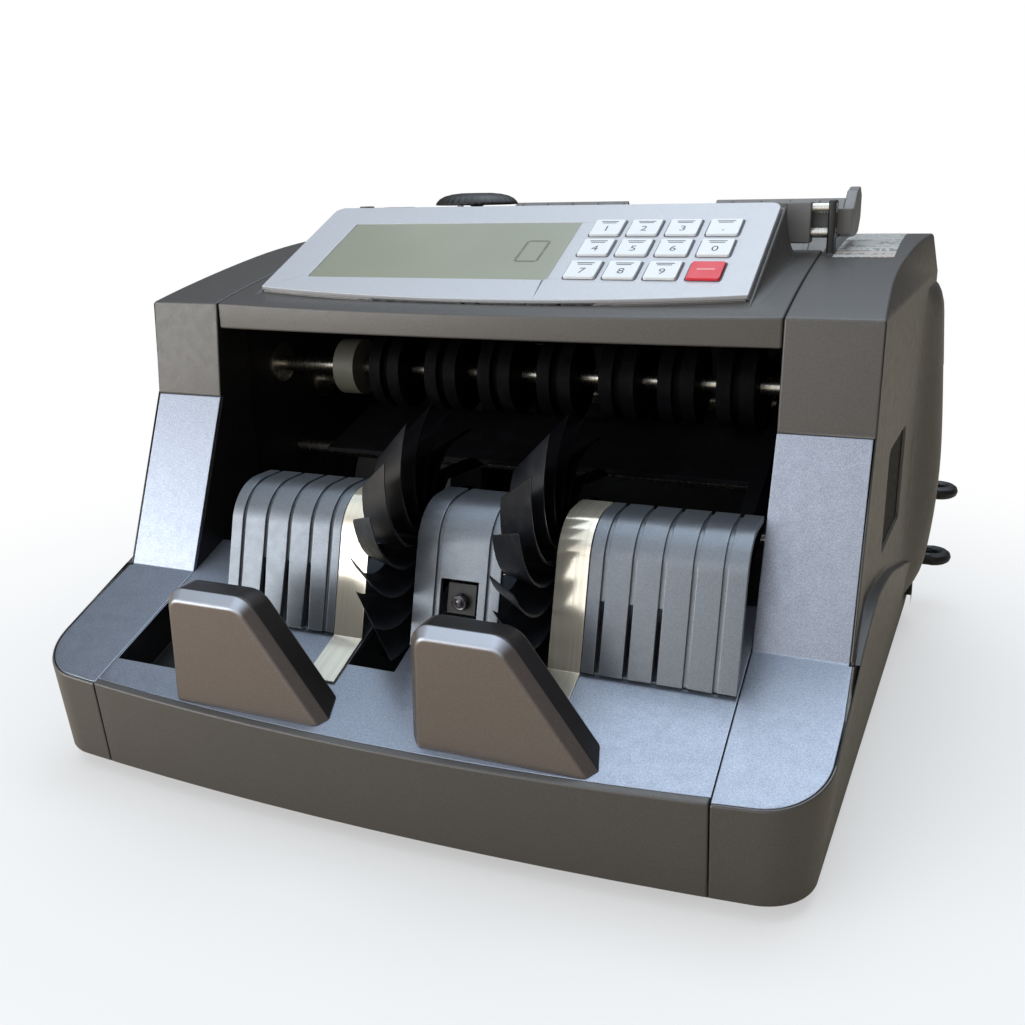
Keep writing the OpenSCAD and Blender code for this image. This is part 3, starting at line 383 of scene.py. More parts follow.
def on_panel(x, up, out):
    """A point of the control panel: x across, up along its slope, out of its face, in mm."""
    slope, tilt = math.cos(PANEL_SLOPE), math.sin(PANEL_SLOPE)
    return PANEL_POINT + Vector((x, up * slope - out * tilt, up * tilt + out * slope))


def box_mm(node):
    """A CAD node's lowest and highest corners, in mm."""
    low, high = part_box(node)
    return low / MM, high / MM


def shade(thing, bevel_mm=0.0, segments=2, angle=32):
    """Smooth shading, with rounded edges wider than the given angle."""
    thing.data.polygons.foreach_set("use_smooth", [True] * len(thing.data.polygons))
    if bevel_mm:
        bevel = thing.modifiers.new("bevel", "BEVEL")
        bevel.width = bevel_mm * MM
        bevel.segments = segments
        bevel.limit_method = "ANGLE"
        bevel.angle_limit = math.radians(angle)
        bevel.use_clamp_overlap = False
    normals = thing.modifiers.new("normals", "WEIGHTED_NORMAL")
    normals.keep_sharp = True


def smooth_step(share):
    """Eases a share of 0 to 1 in and out."""
    return share * share * (3 - 2 * share)


def piece(name, points, faces, material, body="casing"):
    """A new piece from points in mm."""
    mesh = bpy.data.meshes.new(name)
    mesh.from_pydata([Vector(point) * MM for point in points], [], faces)
    mesh.validate()
    work = bmesh.new()
    work.from_mesh(mesh)
    bmesh.ops.recalc_face_normals(work, faces=work.faces)
    work.to_mesh(mesh)
    work.free()
    mesh.materials.append(material)
    thing = bpy.data.objects.new(name, mesh)
    bpy.context.scene.collection.objects.link(thing)
    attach(thing, body)
    return thing


def rings_to_faces(ring_count, ring_size, closed=True, caps=True):
    """Quads between rings of points, with end caps."""
    faces = []
    last = ring_size if closed else ring_size - 1
    for i in range(ring_count - 1):
        for j in range(last):
            k = (j + 1) % ring_size
            faces.append((i * ring_size + j, i * ring_size + k,
                          (i + 1) * ring_size + k, (i + 1) * ring_size + j))
    if caps:
        faces.append(tuple(range(ring_size)))
        faces.append(tuple(range((ring_count - 1) * ring_size, ring_count * ring_size)))
    return faces


def rounded(corners, radii, steps=6):
    """A closed outline in 2-D with each corner rounded by its radius."""
    points = []
    count = len(corners)
    for i, radius in enumerate(radii):
        here = Vector(corners[i])
        back = (Vector(corners[i - 1]) - here).normalized()
        ahead = (Vector(corners[(i + 1) % count]) - here).normalized()
        half = math.acos(max(-1.0, min(1.0, back.dot(ahead)))) / 2
        middle = here + (back + ahead).normalized() * radius / math.sin(half)
        start = here + back * radius / math.tan(half) - middle
        turn = start.angle_signed(here + ahead * radius / math.tan(half) - middle)
        for step in range(steps + 1):
            angle = -turn * step / steps
            points.append(middle + Vector((start.x * math.cos(angle) - start.y * math.sin(angle),
                                           start.x * math.sin(angle) + start.y * math.cos(angle))))
    return points


def inset(outline, distance):
    """The outline moved inwards along its corners' bisectors."""
    count = len(outline)
    area = sum(outline[i].x * outline[(i + 1) % count].y - outline[(i + 1) % count].x * outline[i].y
               for i in range(count))
    side = 1.0 if area > 0 else -1.0
    moved = []
    for i in range(count):
        before = (outline[i] - outline[i - 1]).normalized()
        after = (outline[(i + 1) % count] - outline[i]).normalized()
        normal = Vector((-before.y - after.y, before.x + after.x)).normalized() * side
        spread = max(0.5, normal.dot(Vector((-before.y, before.x)) * side))
        moved.append(outline[i] + normal * distance / spread)
    return moved


def tube(path, radius, sides=14):
    """Points and faces of a round tube along a path of points in mm."""
    points = []
    side = None
    for i, here in enumerate(path):
        ahead = (path[min(i + 1, len(path) - 1)] - path[max(i - 1, 0)]).normalized()
        if side is None:
            side = ahead.orthogonal().normalized()
        side = (side - ahead * side.dot(ahead)).normalized()
        other = ahead.cross(side)
        for k in range(sides):
            angle = 2 * math.pi * k / sides
            points.append(here + radius * (side * math.cos(angle) + other * math.sin(angle)))
    return points, rings_to_faces(len(path), sides)


def turned(centre, profile, sides, axis="Z", ribs=0, rib_depth=0.0, ribbed_from=0.0):
    """Points and faces of a round body; its profile gives (radius, place along the axis) in mm.

    The rings wider than ribbed_from carry ribs."""
    points = []
    for radius, along in profile:
        for k in range(sides):
            angle = 2 * math.pi * k / sides
            groove = rib_depth / 2 * (math.cos(ribs * angle) - 1) if radius > ribbed_from else 0.0
            across = (radius + groove) * math.cos(angle)
            other = (radius + groove) * math.sin(angle)
            offset = (across, other, along) if axis == "Z" else (across, along, other)
            points.append(centre + Vector(offset))
    return points, rings_to_faces(len(profile), sides)


def block(low, high):
    """Points and faces of a box in mm."""
    points = [(x, y, z) for z in (low[2], high[2]) for x, y in
              ((low[0], low[1]), (high[0], low[1]), (high[0], high[1]), (low[0], high[1]))]
    return points, rings_to_faces(2, 4)


def joined(*parts):
    """Several sets of points and faces as one."""
    points, faces = [], []
    for more_points, more_faces in parts:
        faces += [tuple(i + len(points) for i in face) for face in more_faces]
        points += [tuple(point) for point in more_points]
    return points, faces


# ---------- CAD nodes ----------

SLOT_OF = {part["node"]: part["material_slot"] for part in frame["record"]["subparts"]}
BODY_OF = {name: body for body, names in frame["record"]["behaviour"]["bodies"].items()
           for name in names}


WELD_MM = 0.002
FLAT_ANGLE = math.radians(0.4)


def dress(thing, material, bevel_mm, merge_flats=False):
    """Gives a CAD mesh its material, rounded edges and even shading.

    merge_flats joins the triangles of flat faces, which large bevels need."""
    mesh = thing.data
    for name in [a.name for a in mesh.attributes if a.name == "custom_normal"]:
        mesh.attributes.remove(mesh.attributes[name])
    mesh.materials.clear()
    mesh.materials.append(material)
    mesh.polygons.foreach_set("material_index", [0] * len(mesh.polygons))
    weld = thing.modifiers.new("weld", "WELD")
    weld.merge_threshold = WELD_MM * MM
    if merge_flats:
        flat = thing.modifiers.new("flat", "DECIMATE")
        flat.decimate_type = "DISSOLVE"
        flat.angle_limit = FLAT_ANGLE
        flat.delimit = {"MATERIAL"}
    shade(thing, bevel_mm)


def blacken(thing, hidden, material=BLACK):
    """Paints the faces that hidden(centre in mm, normal) picks black, as painted shade of the dark
    inside.
    """
    mesh = thing.data
    mesh.materials.append(material)
    for face in mesh.polygons:
        if hidden(face.center / MM, face.normal):
            face.material_index = len(mesh.materials) - 1


def reshaped(node, move):
    """A new piece from a CAD node's mesh, with each point moved by move(point in mm)."""
    mesh = NODES[node].data.copy()
    mesh.name = node + "_shell"
    for vertex in mesh.vertices:
        vertex.co = move(vertex.co / MM) * MM
    thing = bpy.data.objects.new(node + "_shell", mesh)
    bpy.context.scene.collection.objects.link(thing)
    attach(thing, BODY_OF[node])
    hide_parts(node)
    return thing


# CAD nodes that a new piece stands in for, nodes whose paint differs from their slot's, and the
# radius of each node's rounded edges where it isn't the usual one
REPLACED = set()
SPECIAL = {"note_chute": CHUTE, "display_board": BOARDS_IN_PAINTED_SHADE, "main_board": BOARDS_IN_PAINTED_SHADE}
USUAL_BEVEL_MM = 0.12
BEVEL_MM = {"front_fascia": 0.7, "side_cover_left": 0.7, "side_cover_right": 0.7,
            "rear_cover": 0.5, "top_cover": 0.8, "note_guide_left": 0.6, "note_guide_right": 0.6,
            "hopper_tray": 0.25, "column_panel_left": 0.25, "column_panel_right": 0.25,
            "front_deck": 0.2, "panel_plate": 0.35, "power_switch": 0.4, "power_inlet": 0.3,
            "drive_motor": 0.6, "base_pan": 0.3}


# ---------- casing ----------

UNDERCUT = 3.2
FOOT_Z = 7.0
CORNER = (INNER_X + 10.7, -116.0)
# The roof's outer edge: where it begins, how much wider it gets by ROOF_WIDE_Y, and the heights
# over which a point follows it
ROOF_EDGE_X = 129.0
ROOF_SPREAD = 4.5
ROOF_NARROW_Y, ROOF_WIDE_Y = -20.0, 100.0
ROOF_FREE_Z, ROOF_HELD_Z = 168.0, 160.0
SHOULDER_W = 2.2
GRIP_Y = (-15.0, 35.0)
GRIP_Z = (69.0, 107.0)
GRIP_DEPTH = (0.8, 2.5)


def casing_form(point):
    """Draws the casing's lower edge in, and the rear of its roof edge out."""
    if point.z > FOOT_Z:
        return roof_edge_out(point)
    out_x = max(0.0, abs(point.x) - CORNER[0])
    out_y = max(0.0, CORNER[1] - point.y)
    if out_x == 0.0 and out_y == 0.0:
        return point
    way = Vector((math.copysign(out_x, point.x), -out_y, 0.0)).normalized()
    return point - way * UNDERCUT


def roof_edge_out(point):
    """Widens the roof towards the rear, above the side faces."""
    rise = min(1.0, max(0.0, (point.z - ROOF_HELD_Z) / (ROOF_FREE_Z - ROOF_HELD_Z)))
    along = min(1.0, max(0.0, (point.y - ROOF_NARROW_Y) / (ROOF_WIDE_Y - ROOF_NARROW_Y)))
    if rise == 0.0 or along == 0.0 or abs(point.x) < ROOF_EDGE_X:
        return point
    wider = min(abs(point.x) + ROOF_SPREAD * rise * along, side_face(point.y) - SHOULDER_W)
    return Vector((math.copysign(max(wider, abs(point.x)), point.x), point.y, point.z))


def casing_shells():
    """Front fascia and side covers with their undercut foot; the side covers' insides, rail ear and grip
    recess floor are painted black as shade.
    """
    for node in ("front_fascia", "side_cover_left", "side_cover_right"):
        shell = reshaped(node, casing_form)
        dress(shell, COVER, BEVEL_MM[node], merge_flats=True)
        side = 1.0 if node.endswith("right") else -1.0
        if node != "front_fascia":
            # painted shade: black on the inward faces and the rail ear, dark rubber on the grip recess
            # floor
            blacken(shell, lambda centre, normal: normal.x * side < -0.5 or on_rail_ear(centre))
            blacken(shell, in_grip, CHUTE)
        REPLACED.add(node)


def on_rail_ear(centre):
    """True on the ear that carries the guide rails, the one part that stands above the roof."""
    return centre.z > roof_height(centre.y) + 0.5 and centre.y > 20.0


def in_grip(centre, normal):
    """True on the floor of the grip recess in the side face."""
    depth = side_face(centre.y) - abs(centre.x)
    return (GRIP_Y[0] < centre.y < GRIP_Y[1] and GRIP_Z[0] < centre.z < GRIP_Z[1]
            and GRIP_DEPTH[0] < depth < GRIP_DEPTH[1] and abs(normal.x) > 0.9)


def under_cover(centre, normal):
    """True on the top cover's underside and on the back of its brow."""
    brow_back, brow_top = -45.0, 156.0
    return normal.z < -0.4 or (normal.y > 0.8 and centre.y < brow_back and centre.z < brow_top)


def off_deck(centre, normal):
    """True away from the deck's own sheet, on the walls of its well and slots."""
    sheet = 2.6
    return abs((centre - DECK_POINT).dot(DECK_NORMAL)) > sheet


def blacken_insides():
    """Painted shade: black on faces of the carried-over nodes that only the dark inside sees, under the
    top cover and in the deck's well and slots.
    """
    blacken(NODES["top_cover"], under_cover)
    blacken(NODES["front_deck"], off_deck)


def console_blends():
    """Concave blends where the console's side walls run out on the roof."""
    wall, reach = 92.5, 5.5
    front, back = -46.5, 21.5
    below_panel, sunk = 2.6, 0.3
    stations, steps = 18, 7
    for side, name in ((-1, "console_blend_left"), (1, "console_blend_right")):
        points = []
        for i in range(stations + 1):
            y = front + i * (back - front) / stations
            foot = roof_height(y) - sunk
            top = PANEL_POINT.z + (y - PANEL_POINT.y) * math.tan(PANEL_SLOPE) - below_panel
            rise = max(0.2, top - foot)
            for k in range(steps + 1):
                angle = math.pi / 2 * k / steps
                x = wall - sunk + reach * (1 - math.sin(angle))
                points.append((side * x, y, foot + rise * (1 - math.cos(angle))))
            points.append((side * (wall - 1.0), y, top))
            points.append((side * (wall - 1.0), y, foot))
        blend = piece(name, points, rings_to_faces(stations + 1, steps + 3), COVER)
        shade(blend)


# Half width and height of the rear fairings where they stand out most
WIDEST_HALF, WIDEST_Z = 151.2, 73.0
# Lowest and highest point of the fairings, the y range over which they swell out of the side face,
# and the recess along their back edge, whose walls are painted black as shade
REAR_Z = (20.0, 153.0)
SWELL_Y = (66.0, 97.0)
RECESS_Z = (34.0, 118.0)
RECESS_Y = 103.0
RECESS_DEPTH = 4.0


def side_face(y):
    """Half width of the casing's upper side face at y; the casing widens a little to the rear."""
    half_at_50, flare = 139.2, 0.054
    return half_at_50 + (y - 50.0) * flare


def fairing_half(z):
    """Half width over the fairings: a bow below their widest height, nearly straight above it."""
    off = z - WIDEST_Z
    drawn_in, soft, slope = 4.8, 1.5, 0.085
    if off < 0:
        return WIDEST_HALF - drawn_in * (off / (WIDEST_Z - REAR_Z[0])) ** 2
    return WIDEST_HALF + soft - math.hypot(soft, slope * off)


def swell_at(z):
    """How far the fairing has risen out of the side face at this height, 0 to 1."""
    low_round, high_round = 14.0, 12.0
    from_low = min(1.0, (z - REAR_Z[0]) / low_round)
    from_high = min(1.0, (REAR_Z[1] - z) / high_round)
    return math.sqrt(max(0.0, 1 - (1 - from_low) ** 2) * max(0.0, 1 - (1 - from_high) ** 2))


def rear_section(z, recess):
    """Cross-section of a rear fairing at one height, from the front round to the back, in mm."""
    steps, sunk, back_round, rim, behind, root = 8, 0.4, 4.0, 1.2, 0.05, 6.0
    back = box_mm("rear_cover")[1].y
    points = [(side_face(SWELL_Y[0]) - 2.0, SWELL_Y[0])]
    for k in range(steps + 1):
        y = SWELL_Y[0] + (SWELL_Y[1] - SWELL_Y[0]) * k / steps
        start = side_face(y) - sunk
        points.append((start + (fairing_half(z) - start) * smooth_step(k / steps) * swell_at(z), y))
    half = points[-1][0]
    depth = RECESS_DEPTH if recess else 0.0
    points += [(half, RECESS_Y), (half - depth, RECESS_Y + 0.02), (half - depth, back - back_round)]
    points += [(half - max(depth, rim), back - rim), (half - max(depth, back_round), back + behind)]
    points += [(side_face(back) - root, back + behind), (side_face(back) - root, back - root)]
    return points


def fairing_heights():
    """Heights of the fairing's sections: even steps, with more at its ends and at the recess."""
    steps = 30
    heights = [REAR_Z[0] + (REAR_Z[1] - REAR_Z[0]) * k / steps for k in range(steps + 1)]
    heights += [RECESS_Z[0] - 0.1, RECESS_Z[0], RECESS_Z[1], RECESS_Z[1] + 0.1]
    heights += [REAR_Z[0] + 0.6, REAR_Z[0] + 1.6, REAR_Z[1] - 0.5, REAR_Z[1] - 1.6]
    return sorted(heights)


def rear_fairings():
    """Rounded swellings at the rear of each side, with a recess along the back edge whose walls are
    painted black as shade.
    """
    heights = fairing_heights()
    for side, name in ((-1, "rear_fairing_left"), (1, "rear_fairing_right")):
        points = []
        for z in heights:
            recess = RECESS_Z[0] <= z <= RECESS_Z[1]
            points += [(side * x, y, z) for x, y in rear_section(z, recess)]
        size = len(points) // len(heights)
        fairing = piece(name, points, rings_to_faces(len(heights), size), COVER)
        shade(fairing)
        # painted shade: the recess walls black
        blacken(fairing, lambda centre, normal: RECESS_Z[0] < centre.z < RECESS_Z[1]
                and RECESS_Y < centre.y and abs(normal.z) < 0.9)
    shell = reshaped("rear_cover", rear_pulled_in)
    dress(shell, COVER, BEVEL_MM["rear_cover"], merge_flats=True)
    REPLACED.add("rear_cover")


def rear_pulled_in(point):
    """Draws the rear cover's sides in behind the fairings, and more so above them."""
    beside_roof, beside_fairing, shoulder_z = 141.5, 144.6, 140.0
    limit = beside_roof if point.z > shoulder_z else beside_fairing
    return Vector((math.copysign(min(abs(point.x), limit), point.x), point.y, point.z))


# ---------- control panel ----------

KEY_COUNT = 12
KEY_HALF_W, KEY_HALF_H = 5.5, 5.7
KEY_TOP = 1.03
PRINT_T = 0.07


def key_name(i):
    """Name of key i's node, counted from 0."""
    return "key_%02d" % (i + 1)


def key_extent(i):
    """Lowest and highest corner of key i's cap along the panel, in mm."""
    low, high = box_mm(key_name(i))
    middle = (low + high) / 2 - PANEL_POINT
    up = middle.y * math.cos(PANEL_SLOPE) + middle.z * math.sin(PANEL_SLOPE)
    return (middle.x - KEY_HALF_W, up - KEY_HALF_H), (middle.x + KEY_HALF_W, up + KEY_HALF_H)


def rectangle(left, bottom, wide, tall):
    """Corners of a rectangle, anticlockwise."""
    return [(left, bottom), (left + wide, bottom), (left + wide, bottom + tall), (left, bottom + tall)]


def flat_on_panel(corners, out):
    """Points and one face of a flat print on the panel."""
    return [on_panel(x, up, out) for x, up in corners], [tuple(range(len(corners)))]


def key_frames():
    """Thin dark outlines printed round the keys."""
    margin, corner_r, line_w = 0.75, 1.4, 0.55
    parts = []
    for i in range(KEY_COUNT):
        low, high = key_extent(i)
        wide, tall = high[0] - low[0] + 2 * margin, high[1] - low[1] + 2 * margin
        outer = rounded(rectangle(low[0] - margin, low[1] - margin, wide, tall), [corner_r] * 4, 4)
        inner = inset(outer, line_w)
        ring = []
        for outline, out in ((outer, 0.0), (outer, PRINT_T), (inner, PRINT_T), (inner, 0.0)):
            ring += [on_panel(p.x, p.y, out) for p in outline]
        parts.append((ring, rings_to_faces(4, len(outer), caps=False)))
    points, faces = joined(*parts)
    frames = piece("key_frames", points, faces, INK)
    shade(frames)


def text_mesh(text, size_mm):
    """The flat mesh of a short text, centred, with Blender's own plain font."""
    curve = bpy.data.curves.new("text", "FONT")
    curve.body = text
    curve.size = size_mm
    curve.align_x = "CENTER"
    curve.align_y = "CENTER"
    curve.resolution_u = 3
    holder = bpy.data.objects.new("text", curve)
    bpy.context.scene.collection.objects.link(holder)
    bpy.context.view_layer.update()
    mesh = bpy.data.meshes.new_from_object(holder)
    points = [tuple(v.co) for v in mesh.vertices]
    faces = [tuple(f.vertices) for f in mesh.polygons]
    bpy.data.objects.remove(holder)
    bpy.data.curves.remove(curve)
    bpy.data.meshes.remove(mesh)
    return points, faces


KEY_DIGITS = ["7", "8", "9", "", "4", "5", "6", "0", "1", "2", "3", "."]
# Printed bars on a key, as (left, bottom, width, height) from its middle
DIGIT_KEY_BARS = [(-2.6, 2.3, 5.2, 0.55), (-3.2, 3.4, 6.4, 0.55)]
PLAIN_KEY_BARS = [(-3.0, -0.5, 6.0, 1.1)]


def key_legends():
    """A digit and small bars of print on each key; the red key has one bar only."""
    digit_size, digit_drop = 5.2, 1.9
    for i, digit in enumerate(KEY_DIGITS):
        low, high = key_extent(i)
        x, up = (low[0] + high[0]) / 2, (low[1] + high[1]) / 2
        parts = []
        if digit:
            points, faces = text_mesh(digit, digit_size)
            parts.append(([on_panel(x + p[0], up - digit_drop + p[1], KEY_TOP) for p in points], faces))
        for left, bottom, wide, tall in DIGIT_KEY_BARS if digit else PLAIN_KEY_BARS:
            parts.append(flat_on_panel(rectangle(x + left, up + bottom, wide, tall), KEY_TOP))
        points, faces = joined(*parts)
        ink = INK if digit else KEY_PALE_INK
        legend = piece("key_legend_%02d" % (i + 1), points, faces, ink,
                       BODY_OF[key_name(i)])
        shade(legend)


def display_digit():
    """A tall outlined zero of six bars on the display."""
    left, right, low, high, stroke = 3.2, 12.6, 20.5, 36.6, 1.0
    lean, gap, corner, under_glass = 0.02, 0.4, 0.8, -0.17
    middle = (low + high) / 2
    half = middle - gap - low - corner
    bars = [rectangle(left + 1, low, right - left - 2, stroke),
            rectangle(left + 1, high - stroke, right - left - 2, stroke)]
    for x in (left, right - stroke):
        bars.append(rectangle(x, low + corner, stroke, half))
        bars.append(rectangle(x, middle + gap, stroke, half))
    parts = [flat_on_panel([(x + lean * up, up) for x, up in bar], under_glass) for bar in bars]
    points, faces = joined(*parts)
    digit = piece("display_digit", points, faces, LCD_INK)
    shade(digit)


# ---------- receiving deck ----------

STOP_FOOT_W = 59.0
STOP_TOP_W = 31.0


def stop_outline(low, high):
    """Front outline of a stop plate, from below the deck up, with its right side slanted."""
    below, top_rounds, foot_round = 8.0, (9.0, 6.5), 0.6
    top = high.z
    foot = DECK_POINT.z + (low.y - DECK_POINT.y) * math.tan(DECK_SLOPE)
    slant = (STOP_FOOT_W - STOP_TOP_W) / (top - foot)
    corners = [(low.x, foot - below), (low.x + STOP_FOOT_W + slant * below, foot - below),
               (low.x + STOP_TOP_W, top), (low.x + 0.8, top)]
    return rounded(corners, [foot_round, foot_round, *top_rounds])


def cut_to_deck(mesh):
    """Cuts away what is under the deck, and closes the cut."""
    work = bmesh.new()
    work.from_mesh(mesh)
    cut = bmesh.ops.bisect_plane(work, geom=work.verts[:] + work.edges[:] + work.faces[:],
                                 plane_co=DECK_POINT * MM, plane_no=DECK_NORMAL, clear_inner=True)
    edges = [e for e in cut["geom_cut"] if isinstance(e, bmesh.types.BMEdge)]
    bmesh.ops.contextual_create(work, geom=edges)
    work.to_mesh(mesh)
    work.free()


def stop_plates():
    """Stop plates: rounded top corners, a wide chamfer round the face, feet cut to the deck."""
    chamfer, back_round = 3.6, 0.6
    for node in ("stop_plate_left", "stop_plate_right"):
        low, high = box_mm(node)
        outline = stop_outline(low, high)
        rings = [(high.y, back_round), (high.y - back_round, 0.0), (low.y + chamfer, 0.0),
                 (low.y + 0.5, chamfer - 0.9), (low.y, chamfer + 0.4)]
        points = []
        for y, drawn_in in rings:
            points += [(p.x, y, p.y) for p in (inset(outline, drawn_in) if drawn_in else outline)]
        stop = piece(node + "_body", points, rings_to_faces(len(rings), len(outline)), BRONZE)
        cut_to_deck(stop.data)
        shade(stop, 0.5, 3, 24)
        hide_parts(node)
        REPLACED.add(node)


# ---------- stacker plates ----------

# Open splits of each ribbed plate: their middles, and their half width at the foot
SPLITS = {"stacker_plate_left": ((-60.7, -51.4, -42.7), 1.45),
          "stacker_plate_right": ((61.0, 70.0, 79.0), 0.8)}
SPLIT_HALF = 1.6
SPLIT_TOP_HALF = 0.75
SPLIT_TOP = 71.0
# The way down along the lower, slanting part of the plates
LEG_ANGLE = math.radians(255)
LEG = Vector((0.0, math.cos(LEG_ANGLE), math.sin(LEG_ANGLE)))


def taper(middles, foot_half, foot):
    """A move that narrows the splits at these middles to a hair line at their top."""
    near, top_band, floor_gap = 0.1, 3.0, 0.6

    def move(point):
        middle = min(middles, key=lambda x: abs(point.x - x))
        off = abs(point.x - middle)
        side = math.copysign(1.0, point.x - middle)
        edge = abs(off - SPLIT_HALF) < near
        if edge and SPLIT_TOP < point.z < SPLIT_TOP + top_band:
            return Vector((middle + side * SPLIT_TOP_HALF, point.y, point.z))
        if off < SPLIT_HALF + near and foot + floor_gap < point.z < SPLIT_TOP:
            half = foot_half if edge else off
            drop = (point.z - foot - 0.5) / -LEG.z
            return Vector((middle + side * half, point.y, point.z)) + LEG * drop
        return point

    return move


def tapered_splits():
    """Ribbed plates whose splits widen from a hair line down to the foot of the plate."""
    for node, (middles, foot_half) in SPLITS.items():
        shell = reshaped(node, taper(middles, foot_half, box_mm(node)[0].z))
        dress(shell, PLATE, USUAL_BEVEL_MM)
        REPLACED.add(node)


# ---------- stacking wheels ----------

FLAP_COUNT = 16
FLAP_W, FLAP_T = 14.0, 1.3
HUB_R = 11.0
# Radius of a flap's tip at its left and at its right edge
FLAP_TIPS = (31.0, 45.5)
FLAP_SWEEP = math.radians(46)
FIRST_TIP = math.radians(110)


def flap(left, start):
    """Points and faces of one swept flap with a slanting tip, rooted in the hub at angle start."""
    steps = 9
    root_r = HUB_R - 1.5
    points = []
    for k in range(steps + 1):
        share = k / steps
        angle = start - FLAP_SWEEP * share ** 1.3
        ring = []
        for x, tip_r in zip((left, left + FLAP_W), FLAP_TIPS):
            radius = root_r + (tip_r - root_r) * share
            half = (0.5 - 0.2 * share) * FLAP_T / radius
            for spot in (angle - half, angle + half):
                ring.append((x, STACKER_AT[0] + radius * math.cos(spot),
                             STACKER_AT[1] + radius * math.sin(spot)))
        points += [ring[0], ring[2], ring[3], ring[1]]
    return points, rings_to_faces(steps + 1, 4)


def stacker_flaps():
    """Two stacking wheels of overlapping rubber flaps with slanting tips."""
    low, high = box_mm("stacker_wheels")
    side_gap = 0.4
    parts = []
    for left in (low.x, high.x - FLAP_W):
        for i in range(FLAP_COUNT):
            parts.append(flap(left, FIRST_TIP + FLAP_SWEEP + 2 * math.pi * i / FLAP_COUNT))
        hub = [Vector((left + along, *STACKER_AT)) for along in (side_gap, FLAP_W / 2, FLAP_W - side_gap)]
        parts.append(tube(hub, HUB_R, 40))
    points, faces = joined(*parts)
    wheels = piece("stacker_flaps", points, faces, FLAP, "stacker_drive")
    shade(wheels, 0.15)
    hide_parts("stacker_wheels")
    REPLACED.add("stacker_wheels")


# ---------- hopper ----------

def domed_knob():
    """Domed knob with fine ribs round its rim, on its spindle."""
    low, high = box_mm("gap_knob")
    axis = Vector(((low.x + high.x) / 2, (low.y + high.y) / 2, 0.0))
    rim, top = (high.x - low.x) / 2, high.z
    under, spindle_r, core_r = top - 4.8, 2.5, 0.02
    profile = [(core_r, top), (6.0, top - 0.05), (10.0, top - 0.45), (13.2, top - 1.2),
               (15.4, top - 2.3), (16.6, top - 3.5), (rim, top - 4.2), (rim, top - 4.7),
               (rim - 2.0, under), (3.4, under), (spindle_r, under - 0.4), (spindle_r, low.z),
               (core_r, low.z)]
    points, faces = turned(axis, profile, 144, ribs=36, rib_depth=0.44, ribbed_from=14.0)
    knob = piece("knob_dome", points, faces, BLACK, "knob")
    shade(knob)
    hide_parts("gap_knob")
    REPLACED.add("gap_knob")


# ---------- small details ----------

def notice_label():
    """Pale paper label with faint rows of grey marks on the right cover's roof."""
    left, right, front, back = 109.0, 129.8, 20.0, 96.0
    lift, paper_t = 0.12, 0.1
    columns, rows = 6, 16
    points = []
    for i in range(rows + 1):
        y = front + (back - front) * i / rows
        for j in range(columns + 1):
            points.append((left + (right - left) * j / columns, y, roof_height(y) + lift))
    label = piece("notice_label", points, rings_to_faces(rows + 1, columns + 1, False, False), LABEL)
    solid = label.modifiers.new("paper", "SOLIDIFY")
    solid.thickness = paper_t * MM
    shade(label)


def dust_filter():
    """Black foam behind the vents in the rear cover."""
    half_w, low_z, high_z = 68.0, 26.0, 100.0
    back = box_mm("rear_cover")[1].y
    points, faces = block((-half_w, back - 7.5, low_z), (half_w, back - 3.2, high_z))
    foam = piece("dust_filter", points, faces, FRAME)
    shade(foam, 1.0)


def sensor_lens():
    """Domed lens with a bright rim in the opening of the centre plate."""
    low, high = box_mm("stack_sensor")
    front = Vector(((low.x + high.x) / 2, low.y, (low.z + high.z) / 2))
    profile = [(2.6, 0.9), (2.6, -0.4), (2.1, -0.6), (1.9, 0.0), (1.6, -0.5), (0.9, -0.9), (0.02, -1.0)]
    points, faces = turned(front, profile, 32, axis="Y")
    lens = piece("sensor_lens", points, faces, LENS)
    shade(lens)


# ---------- floor, light and camera ----------

FLOOR_SIZE = 6.0
# Distance in metres over which the floor fades to white, and the least share of white
FADE_FROM, FADE_TO = 0.12, 0.42
FADE_LEAST = 0.45
# The part of the table with a painted pool of light: the way towards it, where its light starts and is
# full, and its strength
LIT_WAY = Vector((-0.75, -0.66, 0.0))
LIT_FROM, LIT_TO = -0.02, 0.6
LIT_STRENGTH = 0.95


def table_seen_by_light(g, position):
    """Wooden table top with a pool of window light on its left painted on as a glow."""
    wood = g.mix(g.noise(0.01, 2.0), (0.54, 0.45, 0.34), (0.62, 0.52, 0.40))
    matt = g.add("ShaderNodeBsdfDiffuse")
    g.put(matt.inputs["Color"], wood)
    lit = g.add("ShaderNodeEmission")
    g.put(lit.inputs["Color"], wood)
    g.put(lit.inputs["Strength"], g.span(g.dot(position, LIT_WAY), LIT_FROM, LIT_TO, 0.0, LIT_STRENGTH))
    table = g.add("ShaderNodeAddShader")
    g.put(table.inputs[0], matt.outputs["BSDF"])
    g.put(table.inputs[1], lit.outputs["Emission"])
    return table.outputs["Shader"]


